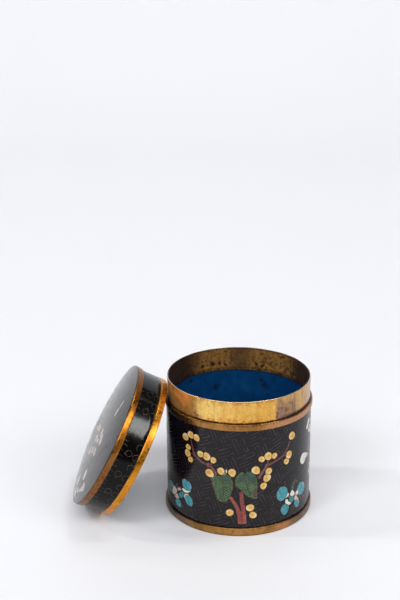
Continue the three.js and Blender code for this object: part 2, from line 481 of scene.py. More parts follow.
def black_enamel(name, lid=False, dome=False):
    m = Nodes(name)
    n1 = m.noise(0.05, 5); n2 = m.noise(1.4, 4, 0.7); n3 = m.noise(7.0, 3, 0.6)
    if lid:
        k0 = 1.0 if dome else 0.55
        base = m.ramp(n1, [(0.3, (0.0026 * k0, 0.0026 * k0, 0.0032 * k0, 1)), (0.7, (0.0044 * k0, 0.0042 * k0, 0.0050 * k0, 1))])
    else:
        base = m.ramp(n1, [(0.3, (0.0040, 0.0022, 0.0040, 1)), (0.7, (0.0066, 0.0040, 0.0056, 1))])
    base = m.mix(m.step(n2, 0.54, 0.78, 0, 0.7), base, (0.012, 0.008, 0.009, 1))
    d, c = m.cells(1.1)
    pit = m.math("MULTIPLY", m.step(d, 0.12, 0.06), m.step(m.noise(0.35, 2), 0.52, 0.60))
    base = m.mix(pit, base, (0.045, 0.032, 0.022, 1))
    chip = None
    if dome:                                       # small losses and dark pits in the glaze
        for p, q, s in ((3.6, 1.1, 1.2), (-8.2, -0.4, 0.7), (-9.6, -0.9, 0.6), (-10.8, -1.3, 0.5), (29.6, 6.5, 0.7), (31.0, 6.9, 0.6), (35.2, 16.8, 0.7),
                        (14.6, -33.2, 0.7), (16.2, -32.6, 0.8), (10.4, -39.6, 1.2), (12.6, -39.0, 1.5), (15.0, -38.2, 1.2)):
            c = m.spot(lid_point(p, q), s, 0.3, n2, 0.6)
            chip = c if chip is None else m.math("MAXIMUM", chip, c)
        base = m.mix(chip, base, (0.006, 0.004, 0.003, 1))
    m.put(m.b.inputs["Base Color"], base)
    lo, hi = (0.08, 0.15) if dome else ((0.10, 0.20) if lid else (0.12, 0.26))
    rough = m.math("ADD", m.step(n2, 0.3, 0.75, lo, hi), m.math("MULTIPLY", pit, 0.4))
    if lid and not dome:                            # painted sheen: the specular level is raised in a band from 35 to 52 degrees round the side, where the key light reflects, and lower elsewhere
        v, ang, r, h = m.turned(True)
        ang = m.math("ADD", ang, m.math("MULTIPLY", m.math("SUBTRACT", m.noise(0.22, 4, 0.65), 0.5), 26.0))
        m.put(m.b.inputs["Specular IOR Level"], m.math("SUBTRACT", m.step(ang, 22, 35, 0.18, 0.86), m.step(ang, 52, 61, 0, 0.50)))
    if not lid:                                     # painted dark reflection: the specular level is lowered on the wall's left, the side that faces the lid
        v, ang, r, h = m.turned()
        m.put(m.b.inputs["Specular IOR Level"], m.step(m.math("ADD", ang, m.math("MULTIPLY", m.math("SUBTRACT", n2, 0.5), 16.0)), -70, -52, 0.10, 0.5))
    if chip is not None:
        rough = m.math("ADD", rough, m.math("MULTIPLY", chip, 0.5))
        m.put(m.b.inputs["Specular IOR Level"], m.math("SUBTRACT", 0.5, m.math("MULTIPLY", chip, 0.42)))
    m.put(m.b.inputs["Roughness"], rough)
    m.b.inputs["IOR"].default_value = 1.54 if dome else (1.45 if lid else 1.37)
    k = 0.5 if lid else 1.0
    m.bump([m.math("MULTIPLY", n3, 0.006 * k), m.math("MULTIPLY", n2, 0.016 * k), m.math("MULTIPLY", m.noise(0.16, 3), 0.09 * k),
            m.math("MULTIPLY", pit, -0.06)], 0.6)
    return m.mat


def enamel(name, stops, rough=0.2, vary=0.35, grain=1.1, specks=0.5, ior=1.5, tone=True):
    """coloured enamel: stops run along the cell's own tone, 0 to 1"""
    m = Nodes(name)
    n1 = m.noise(grain, 5, 0.62, 0.4); n2 = m.noise(grain * 6, 3, 0.6)
    x = m.attr("tone") if tone else m.noise(grain * 0.3, 3)
    x = m.math("ADD", x, m.math("MULTIPLY", m.math("SUBTRACT", n1, 0.5), vary * 2))
    col = m.ramp(x, stops)
    col = m.mix(m.step(n2, 0.62, 0.85, 0, specks), col, (0.02, 0.015, 0.012, 1), "MIX")
    d, _ = m.cells(1.6)
    pit = m.math("MULTIPLY", m.step(d, 0.13, 0.07), m.step(m.noise(0.5, 2), 0.5, 0.56))
    col = m.mix(m.math("MULTIPLY", pit, 0.8), col, (0.03, 0.02, 0.015, 1))
    m.put(m.b.inputs["Base Color"], col)
    m.put(m.b.inputs["Roughness"], m.step(n1, 0.25, 0.8, rough, rough + 0.15))
    m.b.inputs["IOR"].default_value = ior
    m.bump([m.math("MULTIPLY", n2, 0.006), m.math("MULTIPLY", n1, 0.02), m.math("MULTIPLY", pit, -0.05)], 0.6)
    return m.mat


def wire_metal(name, light, dark, rough=0.35):
    m = Nodes(name)
    n1 = m.noise(0.35, 4, 0.6); n2 = m.noise(2.2, 3, 0.6)
    col = m.mix(m.step(m.math("ADD", m.math("MULTIPLY", n1, 0.7), m.math("MULTIPLY", n2, 0.3)), 0.38, 0.62), dark, light)
    m.put(m.b.inputs["Base Color"], col)
    m.b.inputs["Metallic"].default_value = 1.0
    m.put(m.b.inputs["Roughness"], m.step(n2, 0.3, 0.7, rough - 0.08, rough + 0.15))
    m.bump([m.math("MULTIPLY", n2, 0.02)], 0.5)
    return m.mat


def brass(name, light, mid, dark, stain, lid=False, rough=0.26, worn=0.5, extra=None, brush=0.03, pits=0.5, soft=0.3):
    """old polished brass: tarnish in clouds, brushed round the turning, small pits and dark specks"""
    m = Nodes(name)
    v, ang, r, h = m.turned(lid)
    n1 = m.noise(0.09, 6, 0.60, 0.6, v)
    n2 = m.noise(0.55, 5, 0.60, 0.2, v)
    n3 = m.noise(4.5, 3, 0.6, 0.0, v)
    lines = m.noise(1.0, 4, 0.6, 0.0, m.stretch(v, (0.10, 0.10, 3.2)))
    x = m.math("ADD", m.math("MULTIPLY", n1, 0.62), m.math("ADD", m.math("MULTIPLY", n2, soft), m.math("MULTIPLY", lines, 0.38 - soft)))
    col = m.ramp(x, [(0.36, dark), (0.47, mid), (0.60, light)])
    st = m.step(m.math("ADD", m.math("MULTIPLY", n2, 0.5), m.math("MULTIPLY", n1, 0.5)), 0.54, 0.68, 0, worn)
    col = m.mix(st, col, stain)
    d, _ = m.cells(0.75, v)
    d2, _ = m.cells(2.1, v)
    pit = m.math("MAXIMUM", m.math("MULTIPLY", m.step(d, 0.13, 0.07), m.step(m.noise(0.3, 2, 0.5, 0, v), 0.50, 0.56)),
                 m.math("MULTIPLY", m.step(d2, 0.20, 0.10), m.step(m.noise(0.22, 2, 0.5, 0, m.shift(v, (31, 7, 3))), 0.54, 0.62)))
    pit = m.math("MULTIPLY", pit, pits)
    ro = m.math("ADD", m.step(n2, 0.3, 0.75, rough - 0.06, rough + 0.10), m.math("MULTIPLY", st, 0.18))
    metal = None
    if extra:
        col, ro, metal = extra(m, v, ang, r, h, col, ro, n1, n2, n3)
    col = m.mix(pit, col, (0.035, 0.018, 0.010, 1))
    m.put(m.b.inputs["Base Color"], col)
    if metal is None:
        m.b.inputs["Metallic"].default_value = 1.0
    else:
        m.put(m.b.inputs["Metallic"], metal)
    m.put(m.b.inputs["Roughness"], m.math("ADD", ro, m.math("MULTIPLY", pit, 0.3), clamp=True))
    m.bump([m.math("MULTIPLY", lines, brush), m.math("MULTIPLY", n3, 0.008), m.math("MULTIPLY", n1, 0.35),
            m.math("MULTIPLY", pit, -0.08)], 0.55)
    return m.mat


# ------------------------------------------------------------------ camera ----
def aim(pitch, yaw, roll):
    p, y, ro = (math.radians(v) for v in (pitch, yaw, roll))
    d = Vector((math.sin(y) * math.cos(p), math.cos(y) * math.cos(p), -math.sin(p)))
    r = Vector((math.cos(y), -math.sin(y), 0))
    u = r.cross(d)
    right = math.cos(ro) * r + math.sin(ro) * u
    up = -math.sin(ro) * r + math.cos(ro) * u
    return Matrix((right, up, -d)).transposed()


cam = bpy.data.cameras.new("camera")
cam.sensor_width, cam.sensor_fit = 36, "AUTO"
cam.lens = 36 * 1182.19 / 600
cam.clip_start, cam.clip_end = 0.01, 50
cam_ob = bpy.data.objects.new("camera", cam)
cam_ob.matrix_world = Matrix.Translation((X0 * MM, (Y0 - 599.27) * MM, 0.32796)) @ aim(19.124, -2.009, -0.318).to_4x4()
bpy.context.scene.collection.objects.link(cam_ob)
bpy.context.scene.camera = cam_ob

# ------------------------------------------------------------ floor, lights ----
FLOOR_FRONT, FLOOR_BACK, COVE = -0.37, 0.95, 0.75


def sweep_floor():
    prof = [(FLOOR_FRONT - 0.03, -0.004), (FLOOR_FRONT, 0.0)]
    prof += [(y, 0.0) for y in np.linspace(FLOOR_FRONT + 0.1, FLOOR_BACK, 14)]
    prof += [(FLOOR_BACK + COVE * math.sin(a), COVE * (1 - math.cos(a))) for a in np.linspace(0, math.pi / 2, 25)[1:]]
    prof += [(FLOOR_BACK + COVE, 1.9)]
    xs = np.linspace(-2.6, 2.6, 27)
    V = [(x, y, z - 0.00002) for y, z in prof for x in xs]
    w = len(xs)
    F = [(i * w + j, i * w + j + 1, (i + 1) * w + j + 1, (i + 1) * w + j) for i in range(len(prof) - 1) for j in range(w - 1)]
    me = bpy.data.meshes.new("floor")
    me.from_pydata(V, [], F)
    me.polygons.foreach_set("use_smooth", [True] * len(me.polygons))
    ob = bpy.data.objects.new("floor", me)
    bpy.context.scene.collection.objects.link(ob)
    m = Nodes("pale_floor")
    n = m.noise(0.004, 3)
    m.put(m.b.inputs["Base Color"], m.mix(n, (0.906, 0.911, 0.945, 1), (0.912, 0.916, 0.945, 1)))
    m.b.inputs["Roughness"].default_value = 0.55
    m.b.inputs["Specular IOR Level"].default_value = 0.25
    me.materials.append(m.mat)
    return ob


sweep_floor()


def area_light(name, place, target, size, power, colour=(1, 1, 1), spread=180):
    li = bpy.data.lights.new(name, "AREA")
    li.shape, li.size, li.size_y = "RECTANGLE", size[0], size[1]
    li.energy, li.color, li.spread = power, colour, math.radians(spread)
    ob = bpy.data.objects.new(name, li)
    ob.location = place
    ob.rotation_mode = "QUATERNION"
    ob.rotation_quaternion = (Vector(target) - Vector(place)).to_track_quat("-Z", "Y")
    ob.visible_camera = False
    bpy.context.scene.collection.objects.link(ob)
    return ob


def around(az, el, d):
    """a place in metres, from its bearing (0 is the object's right, 90 is behind it), its height angle and its distance"""
    a, e = math.radians(az), math.radians(el)
    return (d * math.cos(e) * math.cos(a), d * math.cos(e) * math.sin(a), d * math.sin(e))


area_light("key_box", around(-38.1, 36.7, 3.0), (0.0, 0.0, 0.03), (1.45, 1.05), 23.5, (1.0, 0.995, 0.985))
area_light("front_high", around(270, 52, 3.0), (0.0, 0.0, 0.03), (2.4, 0.8), 28.5, (0.985, 0.993, 1.0))
area_light("front_low", around(270, 30, 3.0), (0.0, 0.0, 0.03), (2.4, 0.8), 16.5, (0.985, 0.993, 1.0))
area_light("left_front", around(230, 42, 3.0), (0.0, 0.0, 0.03), (0.8, 0.8), 20.0, (0.99, 0.995, 1.0))
area_light("left_strip", around(180, 48, 3.0), (0.0, 0.0, 0.03), (0.20, 0.55), 12.3, (1.0, 0.995, 0.99))
area_light("left_low", around(180, 22, 2.5), (0.0, 0.0, 0.03), (0.18, 0.45), 2.4, (1.0, 0.995, 0.99))
area_light("right_high", around(2, 68, 3.0), (0.0, 0.0, 0.03), (0.20, 0.5), 9.0, (1.0, 0.99, 0.975))
area_light("back_wash", (0.0, 0.60, 1.75), (0.0, 1.7, 0.50), (2.4, 0.5), 7.8, (0.985, 0.993, 1.0))

world = bpy.data.worlds.new("room")
bpy.context.scene.world = world
world.use_nodes = True
wt = world.node_tree
wt.nodes.clear()
w_out = wt.nodes.new("ShaderNodeOutputWorld")
w_mix = wt.nodes.new("ShaderNodeMixShader")
w_path = wt.nodes.new("ShaderNodeLightPath")
w_dim = wt.nodes.new("ShaderNodeBackground"); w_dim.inputs[0].default_value = (0.045, 0.046, 0.050, 1)
w_pale = wt.nodes.new("ShaderNodeBackground"); w_pale.inputs[0].default_value = (0.86, 0.87, 0.90, 1)
wt.links.new(w_path.outputs["Is Camera Ray"], w_mix.inputs[0])
wt.links.new(w_dim.outputs[0], w_mix.inputs[1]); wt.links.new(w_pale.outputs[0], w_mix.inputs[2])
wt.links.new(w_mix.outputs[0], w_out.inputs[0])
bpy.context.scene.view_settings.view_transform = "Standard"
bpy.context.scene.view_settings.look = "None"
bpy.context.scene.view_settings.exposure = 0.0
bpy.context.scene.view_settings.gamma = 1.0

# ------------------------------------------------------- the turned pieces ----
SEG = 288


def dense(section, longest):
    """adds points along a section so that no stretch is longer than `longest` mm"""
    out = []
    n = len(section)
    for i in range(n):
        a = section[i]; b = section[(i + 1) % n]
        out.append(a)
        if i == n - 1 and section[0][0] < 1e-6:
            break
        d = math.hypot(b[0] - a[0], b[1] - a[1])
        k = int(d / longest)
        for j in range(1, k + 1):
            f = j / (k + 1)
            out.append((a[0] + (b[0] - a[0]) * f, a[1] + (b[1] - a[1]) * f, a[2] if len(a) > 2 else 0))
    return out


def soften(section, radius):
    """rounds every corner of a closed section with a small chamfered bevel of three points"""
    out = []
    n = len(section)
    for i in range(n):
        p = np.array(section[i - 1][:2]); c = np.array(section[i][:2]); q = np.array(section[(i + 1) % n][:2])
        k = section[i][3] if len(section[i]) > 3 else radius
        mat = section[i][2] if len(section[i]) > 2 else 0
        if k <= 0 or c[0] < 1e-6:
            out.append((c[0], c[1], mat)); continue
        a, b = p - c, q - c
        la, lb = np.hypot(*a), np.hypot(*b)
        k = min(k, la * 0.45, lb * 0.45)
        s, e = c + a / la * k, c + b / lb * k
        mid = c * 0.5 + (s + e) * 0.25
        prev_mat = section[i - 1][2] if len(section[i - 1]) > 2 else 0
        out += [(s[0], s[1], prev_mat), (mid[0], mid[1], mat), (e[0], e[1], mat)]
    return out


def turned_piece(name, section, mats, replaces, place, seg=SEG, wobble=None, smooth=35):
    P, F, M = lathe(section, seg, section[0][0] > 1e-6, place, wobble=wobble)
    ob = solid(name, P, F, mats, M, smooth)
    # make sure faces look outward
    me = ob.data
    import bmesh
    bm = bmesh.new(); bm.from_mesh(me)
    bmesh.ops.recalc_face_normals(bm, faces=bm.faces)
    if bm.calc_volume(signed=True) < 0:
        bmesh.ops.reverse_faces(bm, faces=bm.faces)
    bm.to_mesh(me); bm.free()
    me.set_sharp_from_angle(angle=math.radians(smooth))
    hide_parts(replaces)
    return ob


k_wave = 2 * math.pi / CIRC


def wall_wave(rr, ang, zz):
    """the same slow waves that map_wall uses: the angle here runs from +X"""
    th = ang + math.pi / 2
    s = th * WALL_R
    on_wall = (np.abs(rr - WALL_R) < 0.2)
    r = rr - 0.06 + 0.05 * (np.sin(6 * s * k_wave + 0.05 * zz) * 0.6 + np.sin(11 * s * k_wave + 0.09 * zz + 1) * 0.4)
    return np.where(on_wall, r, rr), zz


def blue_inside(name):
    m = Nodes(name)
    v, ang, r, h = m.turned()
    n1 = m.noise(0.10, 6, 0.65, 0.8); n2 = m.noise(0.9, 5, 0.7); n3 = m.noise(5.0, 3)
    col = m.ramp(n1, [(0.3, (0.0, 0.026, 0.096, 1)), (0.5, (0.0, 0.040, 0.140, 1)), (0.7, (0.002, 0.058, 0.176, 1))])
    col = m.mix(m.step(n2, 0.58, 0.8, 0, 0.55), col, (0.001, 0.018, 0.075, 1))
    # dark stains at given spots, joined below by a painted shadow band and a darkening low down
    spots_and_shade = None
    for deg, z, s in ((-133.9, 61.6, 2.0), (-159.7, 54.0, 2.4), (-163, 55.5, 0.9), (170.5, 64.2, 1.4), (167.0, 63.6, 0.8), (159.6, 58.7, 2.4),
                      (157.2, 55.8, 3.2), (151.5, 54.6, 1.0), (60, 50, 1.6), (-70, 44, 1.8), (20, 30, 2.0), (178.0, 64.2, 0.9), (173.4, 62.8, 0.8),
                      (163.2, 62.6, 0.7), (148.0, 60.4, 0.9), (-150.0, 58.6, 0.7), (-171.0, 60.8, 0.6), (-168.0, 53.0, 0.8), (154.0, 50.2, 0.8), (144.0, 57.2, 0.7)):
        k = m.spot(wall_point(deg, z, 38), s, 0.1, n2)
        spots_and_shade = k if spots_and_shade is None else m.math("MAXIMUM", spots_and_shade, k)
    # painted shadow: a dark band at the top of the blue, under the collar's step
    rim = m.math("MULTIPLY", m.step(h, 62.6, 63.9), m.step(n2, 0.35, 0.6))
    # darker towards the floor of the inside
    low_darkening = m.math("MULTIPLY", m.step(h, 12, 4), m.step(n1, 0.35, 0.6, 0, 0.7))
    spots_and_shade = m.math("MAXIMUM", m.math("MAXIMUM", spots_and_shade, rim), low_darkening)
    col = m.mix(m.math("MULTIPLY", spots_and_shade, 0.85), col, (0.006, 0.008, 0.010, 1))
    m.put(m.b.inputs["Base Color"], col)
    m.put(m.b.inputs["Roughness"], m.step(n2, 0.3, 0.8, 0.30, 0.48))
    m.b.inputs["IOR"].default_value = 1.45
    m.bump([m.math("MULTIPLY", n1, 0.25), m.math("MULTIPLY", n2, 0.04), m.math("MULTIPLY", n3, 0.01)], 0.6)
    return m.mat


M_BLACK = black_enamel("black_ground_enamel")
M_BLACK_LID = black_enamel("black_lid_enamel", True)
M_BLACK_DOME = black_enamel("black_dome_enamel", True, True)
M_BLUE = blue_inside("blue_counter_enamel")

body = [
    (0, 2.0, 1), (36.0, 2.0, 1), (39.4, 2.0, 0), (39.4, 4.6, 0), (39.7, 4.62, 0), (40.0, 4.9, 0), (40.0, 61.2, 0), (39.7, 61.48, 0), (39.4, 61.5, 0),
    (39.4, 64.15, 2), (38.05, 64.2, 1), (38.0, 63.9, 1), (38.0, 6.8, 1), (37.88, 5.9, 1), (37.5, 5.0, 1), (36.9, 4.35, 1), (36.0, 3.92, 1), (35.0, 3.8, 1), (0, 3.8, 1)]
turned_piece("enamelled_vessel", dense(body, 2.4), [M_BLACK, M_BLUE, M_BLACK], "box_body", box_place, wobble=wall_wave)


# collar
def collar_tones_and_light(m, v, ang, r, h, col, ro, n1, n2, n3):
    out = m.step(r, 38.8, 39.0)                                    # 1 outside, 0 inside
    fray = m.math("MULTIPLY", m.math("SUBTRACT", m.noise(0.5, 4, 0.6, 0.3, v), 0.5), 9.0)
    a = m.math("ADD", ang, fray)
    fine = m.math("ADD", ang, m.math("MULTIPLY", m.math("SUBTRACT", n2, 0.5), 3.0))
    mot = m.noise(0.42, 5, 0.7, 0.5, v)
    up = m.noise(0.35, 4, 0.6, 0.0, m.stretch(v, (1.0, 1.0, 0.12)))   # streaks that run up the collar
    # front: the left half is painted brighter, a painted reflection of the bright floor; orange and pitted low down
    col = m.mix(m.math("MULTIPLY", m.step(a, 2, -26), 0.6), col, rgb(255, 218, 130))
    col = m.mix(m.math("MULTIPLY", m.step(a, 6, 26), 0.55), col, rgb(224, 164, 74))
    col = m.mix(m.step(up, 0.46, 0.66, 0, 0.4), col, rgb(204, 146, 68))
    col = m.mix(m.step(mot, 0.55, 0.72, 0, 0.5), col, rgb(184, 122, 58))
    col = m.mix(m.step(mot, 0.44, 0.30, 0, 0.35), col, rgb(255, 222, 140))
    low = m.math("MULTIPLY", m.step(h, 71.5, 66.0), m.step(mot, 0.46, 0.60))
    col = m.mix(m.math("MULTIPLY", low, 0.65), col, rgb(196, 118, 54))
    top = m.math("MULTIPLY", m.step(h, 74.0, 77.4), m.step(m.math("ADD", mot, m.math("MULTIPLY", up, 0.3)), 0.55, 0.72))
    col = m.mix(m.math("MULTIPLY", top, 0.6), col, rgb(190, 128, 60))
    # grey and mauve patina on the right, with a straight edge
    right = m.step(fine, 28.4, 31.2)
    pat = m.ramp(mot, [(0.32, rgb(112, 86, 84)), (0.44, rgb(138, 106, 88)), (0.56, rgb(176, 136, 92)), (0.70, rgb(150, 114, 112))])
    pat = m.mix(m.step(m.math("ADD", m.math("MULTIPLY", n2, 0.5), m.math("MULTIPLY", up, 0.5)), 0.50, 0.60, 0, 0.7), pat, rgb(104, 76, 70))
    pat = m.mix(m.math("MULTIPLY", m.step(h, 71.0, 76.5), m.step(up, 0.38, 0.56, 0.2, 0.9)), pat, rgb(212, 168, 100))
    gold_band = m.math("MULTIPLY", m.step(a, 49, 53), m.step(a, 68, 63))
    pat = m.mix(m.math("MULTIPLY", gold_band, m.step(up, 0.36, 0.52, 0.35, 0.9)), pat, rgb(214, 168, 106))
    pale = m.step(a, 62.0, 70.0, 0, 0.8)
    pat = m.mix(pale, pat, rgb(206, 178, 156))
    col_out = m.mix(m.math("MULTIPLY", right, m.step(a, 150, 110)), col, pat)
    # browner on the left
    left = m.step(a, -33.0, -42.0)
    tan = m.mix(m.step(mot, 0.36, 0.60), rgb(206, 144, 76), rgb(168, 110, 60))
    tan = m.mix(m.math("MULTIPLY", m.step(h, 71.5, 75.0), m.step(n1, 0.36, 0.56)), tan, rgb(246, 166, 82))
    tan = m.mix(m.math("MULTIPLY", m.step(a, -62, -74), 0.8), tan, rgb(150, 116, 84))
    col_out = m.mix(m.math("MULTIPLY", left, 0.85), col_out, tan)
    mauve = m.spot(wall_point(-34.2, 66.9, 39.3), 2.6, 0.2, n2, 0.5)
    mauve2 = m.spot(wall_point(36, 66.4, 39.3), 2.6, 0.1, n2, 0.6)
    col_out = m.mix(m.math("MULTIPLY", m.math("MAXIMUM", mauve, mauve2), 0.8), col_out, rgb(150, 104, 106))
    low_darkening = m.math("MULTIPLY", m.step(h, 66.5, 65.5), m.step(n2, 0.34, 0.56, 0.45, 1.0))
    low_darkening = m.math("MAXIMUM", low_darkening, m.math("MULTIPLY", m.step(h, 67.4, 66.0), m.step(a, 30, 44, 0, 0.8)))
    col_out = m.mix(low_darkening, col_out, rgb(66, 46, 34))
    # painted highlight: a pale band along the collar's top edge
    edge = m.step(h, 77.2, 77.6)
    col_out = m.mix(m.math("MULTIPLY", edge, 0.6), col_out, rgb(226, 190, 160))
    # inside: dark bronze with gold showing through in patches
    a = m.math("ADD", ang, m.math("MULTIPLY", m.math("SUBTRACT", n2, 0.5), 20.0))
    bands = m.math("ADD", m.math("MULTIPLY", m.step(a, -177, -166), m.step(a, -134, -150)),
                   m.math("MULTIPLY", m.step(a, 120, 140), m.step(a, 179, 164)))
    gold = m.math("MULTIPLY", bands, m.step(m.math("ADD", mot, m.math("MULTIPLY", m.math("SUBTRACT", n2, 0.5), 0.5)), 0.36, 0.52))
    dark_in = m.ramp(mot, [(0.35, rgb(104, 72, 40)), (0.5, rgb(132, 94, 52)), (0.66, rgb(156, 116, 64))])
    far = m.math("ADD", m.math("MULTIPLY", m.step(a, -150, -128), m.step(a, 0, -20)), m.math("MULTIPLY", m.step(a, 140, 118), m.step(a, 0, 20)))
    dark_in = m.mix(m.math("MULTIPLY", far, 0.85), dark_in, m.mix(m.step(mot, 0.4, 0.6), rgb(52, 34, 24), rgb(76, 54, 36)))
    gold_in = m.ramp(n2, [(0.36, rgb(168, 118, 58)), (0.5, rgb(206, 150, 76)), (0.66, rgb(226, 172, 92))])
    col_in = m.mix(m.math("MULTIPLY", gold, 0.9), dark_in, gold_in)
    spots_and_step_shadow = None
    for deg, z, s in ((-147, 68.0, 1.5), (-152, 68.6, 1.0), (-157.5, 68.3, 1.7), (-163, 68.6, 1.1), (165.0, 68.0, 1.2), (159.0, 67.6, 1.6),
                      (150, 67.8, 0.9), (171.1, 67.2, 0.8), (-168, 67.5, 1.0)):
        k = m.spot(wall_point(deg, z, 38.5), s, 0.35, n2, 0.8)
        spots_and_step_shadow = k if spots_and_step_shadow is None else m.math("MAXIMUM", spots_and_step_shadow, k)
    # painted shadow: darker along the bottom of the inside, at the step down to the blue
    spots_and_step_shadow = m.math("MAXIMUM", spots_and_step_shadow, m.math("MULTIPLY", m.step(h, 66.6, 65.2), m.step(n2, 0.4, 0.6)))
    spots_and_step_shadow = m.math("MAXIMUM", spots_and_step_shadow, m.math("MULTIPLY", m.step(h, 76.2, 77.2), m.step(mot, 0.42, 0.6, 0.2, 0.9)))
    spots_and_step_shadow = m.math("MAXIMUM", spots_and_step_shadow, m.step(mot, 0.62, 0.72, 0, 0.5))
    col_in = m.mix(m.math("MULTIPLY", spots_and_step_shadow, 0.9), col_in, rgb(44, 28, 18))
    col = m.mix(out, m.mix(0.42, col_in, (0.004, 0.002, 0.001, 1)), col_out)
    ro_out = m.math("ADD", ro, m.math("ADD", m.math("MULTIPLY", right, 0.10), m.math("MULTIPLY", left, 0.08)))
    ro_in = m.math("ADD", ro, m.math("SUBTRACT", 0.22, m.math("MULTIPLY", gold, 0.08)))
    ro = m.math("ADD", m.math("MULTIPLY", ro_out, out), m.math("MULTIPLY", ro_in, m.math("SUBTRACT", 1.0, out)))
    metal_out = m.math("SUBTRACT", 1.0, m.math("ADD", m.math("MULTIPLY", right, 0.35), m.math("MULTIPLY", left, 0.45)))
    metal = m.math("ADD", m.math("MULTIPLY", metal_out, out), m.math("MULTIPLY", 0.28, m.math("SUBTRACT", 1.0, out)))
    return col, ro, metal


M_COLLAR = brass("collar_brass_metal", rgb(244, 196, 106), rgb(234, 182, 90), rgb(216, 160, 72), rgb(196, 136, 62),
                 rough=0.27, worn=0.4, extra=collar_tones_and_light, pits=0.85)


def collar_wave(rr, ang, zz):
    k = np.clip((zz - 64.2) / 13.6, 0, 1)
    dr = -0.05 + 0.05 * np.sin(3 * ang + 0.6) * k + 0.03 * np.sin(7 * ang + 2 + 0.1 * zz) * k - 0.02 * np.sin(17 * ang + zz * 0.5) * k
    top = np.where(zz > 77.0, -0.04 + 0.035 * np.sin(9 * ang + 1) + 0.02 * np.sin(23 * ang), 0)
    return rr + dr, zz + top


R1, S1, T1 = 39.3, 0.8, 77.84
collar = [(R1 - S1, 64.2), (R1, 64.2), (R1, T1 - 0.42), (R1 - 0.05, T1 - 0.2), (R1 - 0.2, T1 - 0.05), (R1 - S1 / 2, T1),
          (R1 - S1 + 0.2, T1 - 0.05), (R1 - S1 + 0.05, T1 - 0.2), (R1 - S1, T1 - 0.42)]
turned_piece("brass_collar", dense(collar, 0.9), [M_COLLAR], "collar", box_place, wobble=collar_wave)



def mouth_wear(m, v, ang, r, h, col, ro, n1, n2, n3):
    a = m.math("ADD", ang, m.math("MULTIPLY", m.math("SUBTRACT", n2, 0.5), 24.0))
    up = m.noise(0.3, 4, 0.6, 0.0, m.stretch(v, (1.0, 1.0, 0.2)))
    col = m.mix(m.step(up, 0.48, 0.64, 0, 0.6), col, rgb(156, 94, 58))
    red = m.math("MULTIPLY", m.step(a, 16, 30), m.step(a, 80, 60))
    col = m.mix(m.math("MULTIPLY", red, 0.5), col, rgb(214, 156, 120))
    dark = m.math("MAXIMUM", m.step(h, 65.0, 65.3, 0, 0.6), m.step(h, 62.0, 61.6, 0, 0.7))
    dark = m.math("MULTIPLY", dark, m.step(n2, 0.36, 0.56, 0.3, 1.0))
    col = m.mix(dark, col, rgb(70, 48, 36))
    return col, ro, None


def foot_tones_and_shade(m, v, ang, r, h, col, ro, n1, n2, n3):
    a = m.math("ABSOLUTE", m.math("ADD", m.math("SUBTRACT", ang, 3.0), m.math("MULTIPLY", m.math("SUBTRACT", n2, 0.5), 30.0)))
    # the grey put on the sides is partly patina, partly a painted reflection
    side = m.step(a, 30, 52)
    dim_colour = m.mix(m.step(n1, 0.4, 0.6), rgb(92, 84, 74), rgb(120, 102, 88))
    pinkish = m.math("MULTIPLY", m.step(ang, 28, 34), m.step(ang, 46, 40))
    col = m.mix(m.math("MULTIPLY", side, 0.85), col, dim_colour)
    col = m.mix(m.math("MULTIPLY", pinkish, 0.5), col, rgb(206, 136, 100))
    # painted shade: a dark band along the foot's lower edge at the floor, with a weaker dark band along the top edge
    low = m.math("MAXIMUM", m.step(h, 0.9, 0.35), m.math("MULTIPLY", m.step(h, 4.2, 4.5), 0.7))
    col = m.mix(m.math("MULTIPLY", low, 0.8), col, rgb(64, 46, 36))
    return col, m.math("ADD", ro, m.math("MULTIPLY", side, 0.06)), None


M_MOUTH = brass("mouth_rim_brass", rgb(190, 140, 78), rgb(158, 114, 62), rgb(120, 84, 48), rgb(96, 66, 46), rough=0.30, worn=0.55, pits=0.7, extra=mouth_wear)
M_FOOT = brass("foot_rim_brass", rgb(194, 142, 78), rgb(160, 116, 64), rgb(120, 86, 52), rgb(90, 66, 48), rough=0.32, worn=0.6, pits=0.7, extra=foot_tones_and_shade)


def rim_wave(amount, f):
    def go(rr, ang, zz):
        return rr - amount + amount * (0.6 * np.sin(f * ang + 0.3) + 0.4 * np.sin((2 * f + 1) * ang + 1.7)), zz
    return go


mouth = [(39.45, 61.5, 0, 0), (40.23, 61.5, 0, 0.1), (40.55, 61.75, 0, 0.12), (40.63, 62.3, 0, 0.25), (40.63, 64.7, 0, 0.25),
         (40.48, 65.15, 0, 0.15), (40.13, 65.3, 0, 0.12), (39.45, 65.3, 0, 0.05)]
turned_piece("brass_mouth_rim", dense(soften(mouth, 0.1), 1.2), [M_MOUTH], "mouth_rim", box_place, wobble=rim_wave(0.04, 5))
foot = [(36.5, 0, 0, 0.05), (40.5, 0, 0, 0.1), (40.9, 0.35, 0, 0.12), (41.0, 0.9, 0, 0.3), (41.0, 3.9, 0, 0.3), (40.7, 4.5, 0, 0.15),
        (40.3, 4.6, 0, 0.12), (39.45, 4.6, 0, 0.05), (39.45, 2.0, 0, 0), (36.5, 2.0, 0, 0.1)]
turned_piece("brass_foot_rim", dense(soften(foot, 0.1), 1.2), [M_FOOT], "foot_rim", box_place, wobble=rim_wave(0.03, 4))

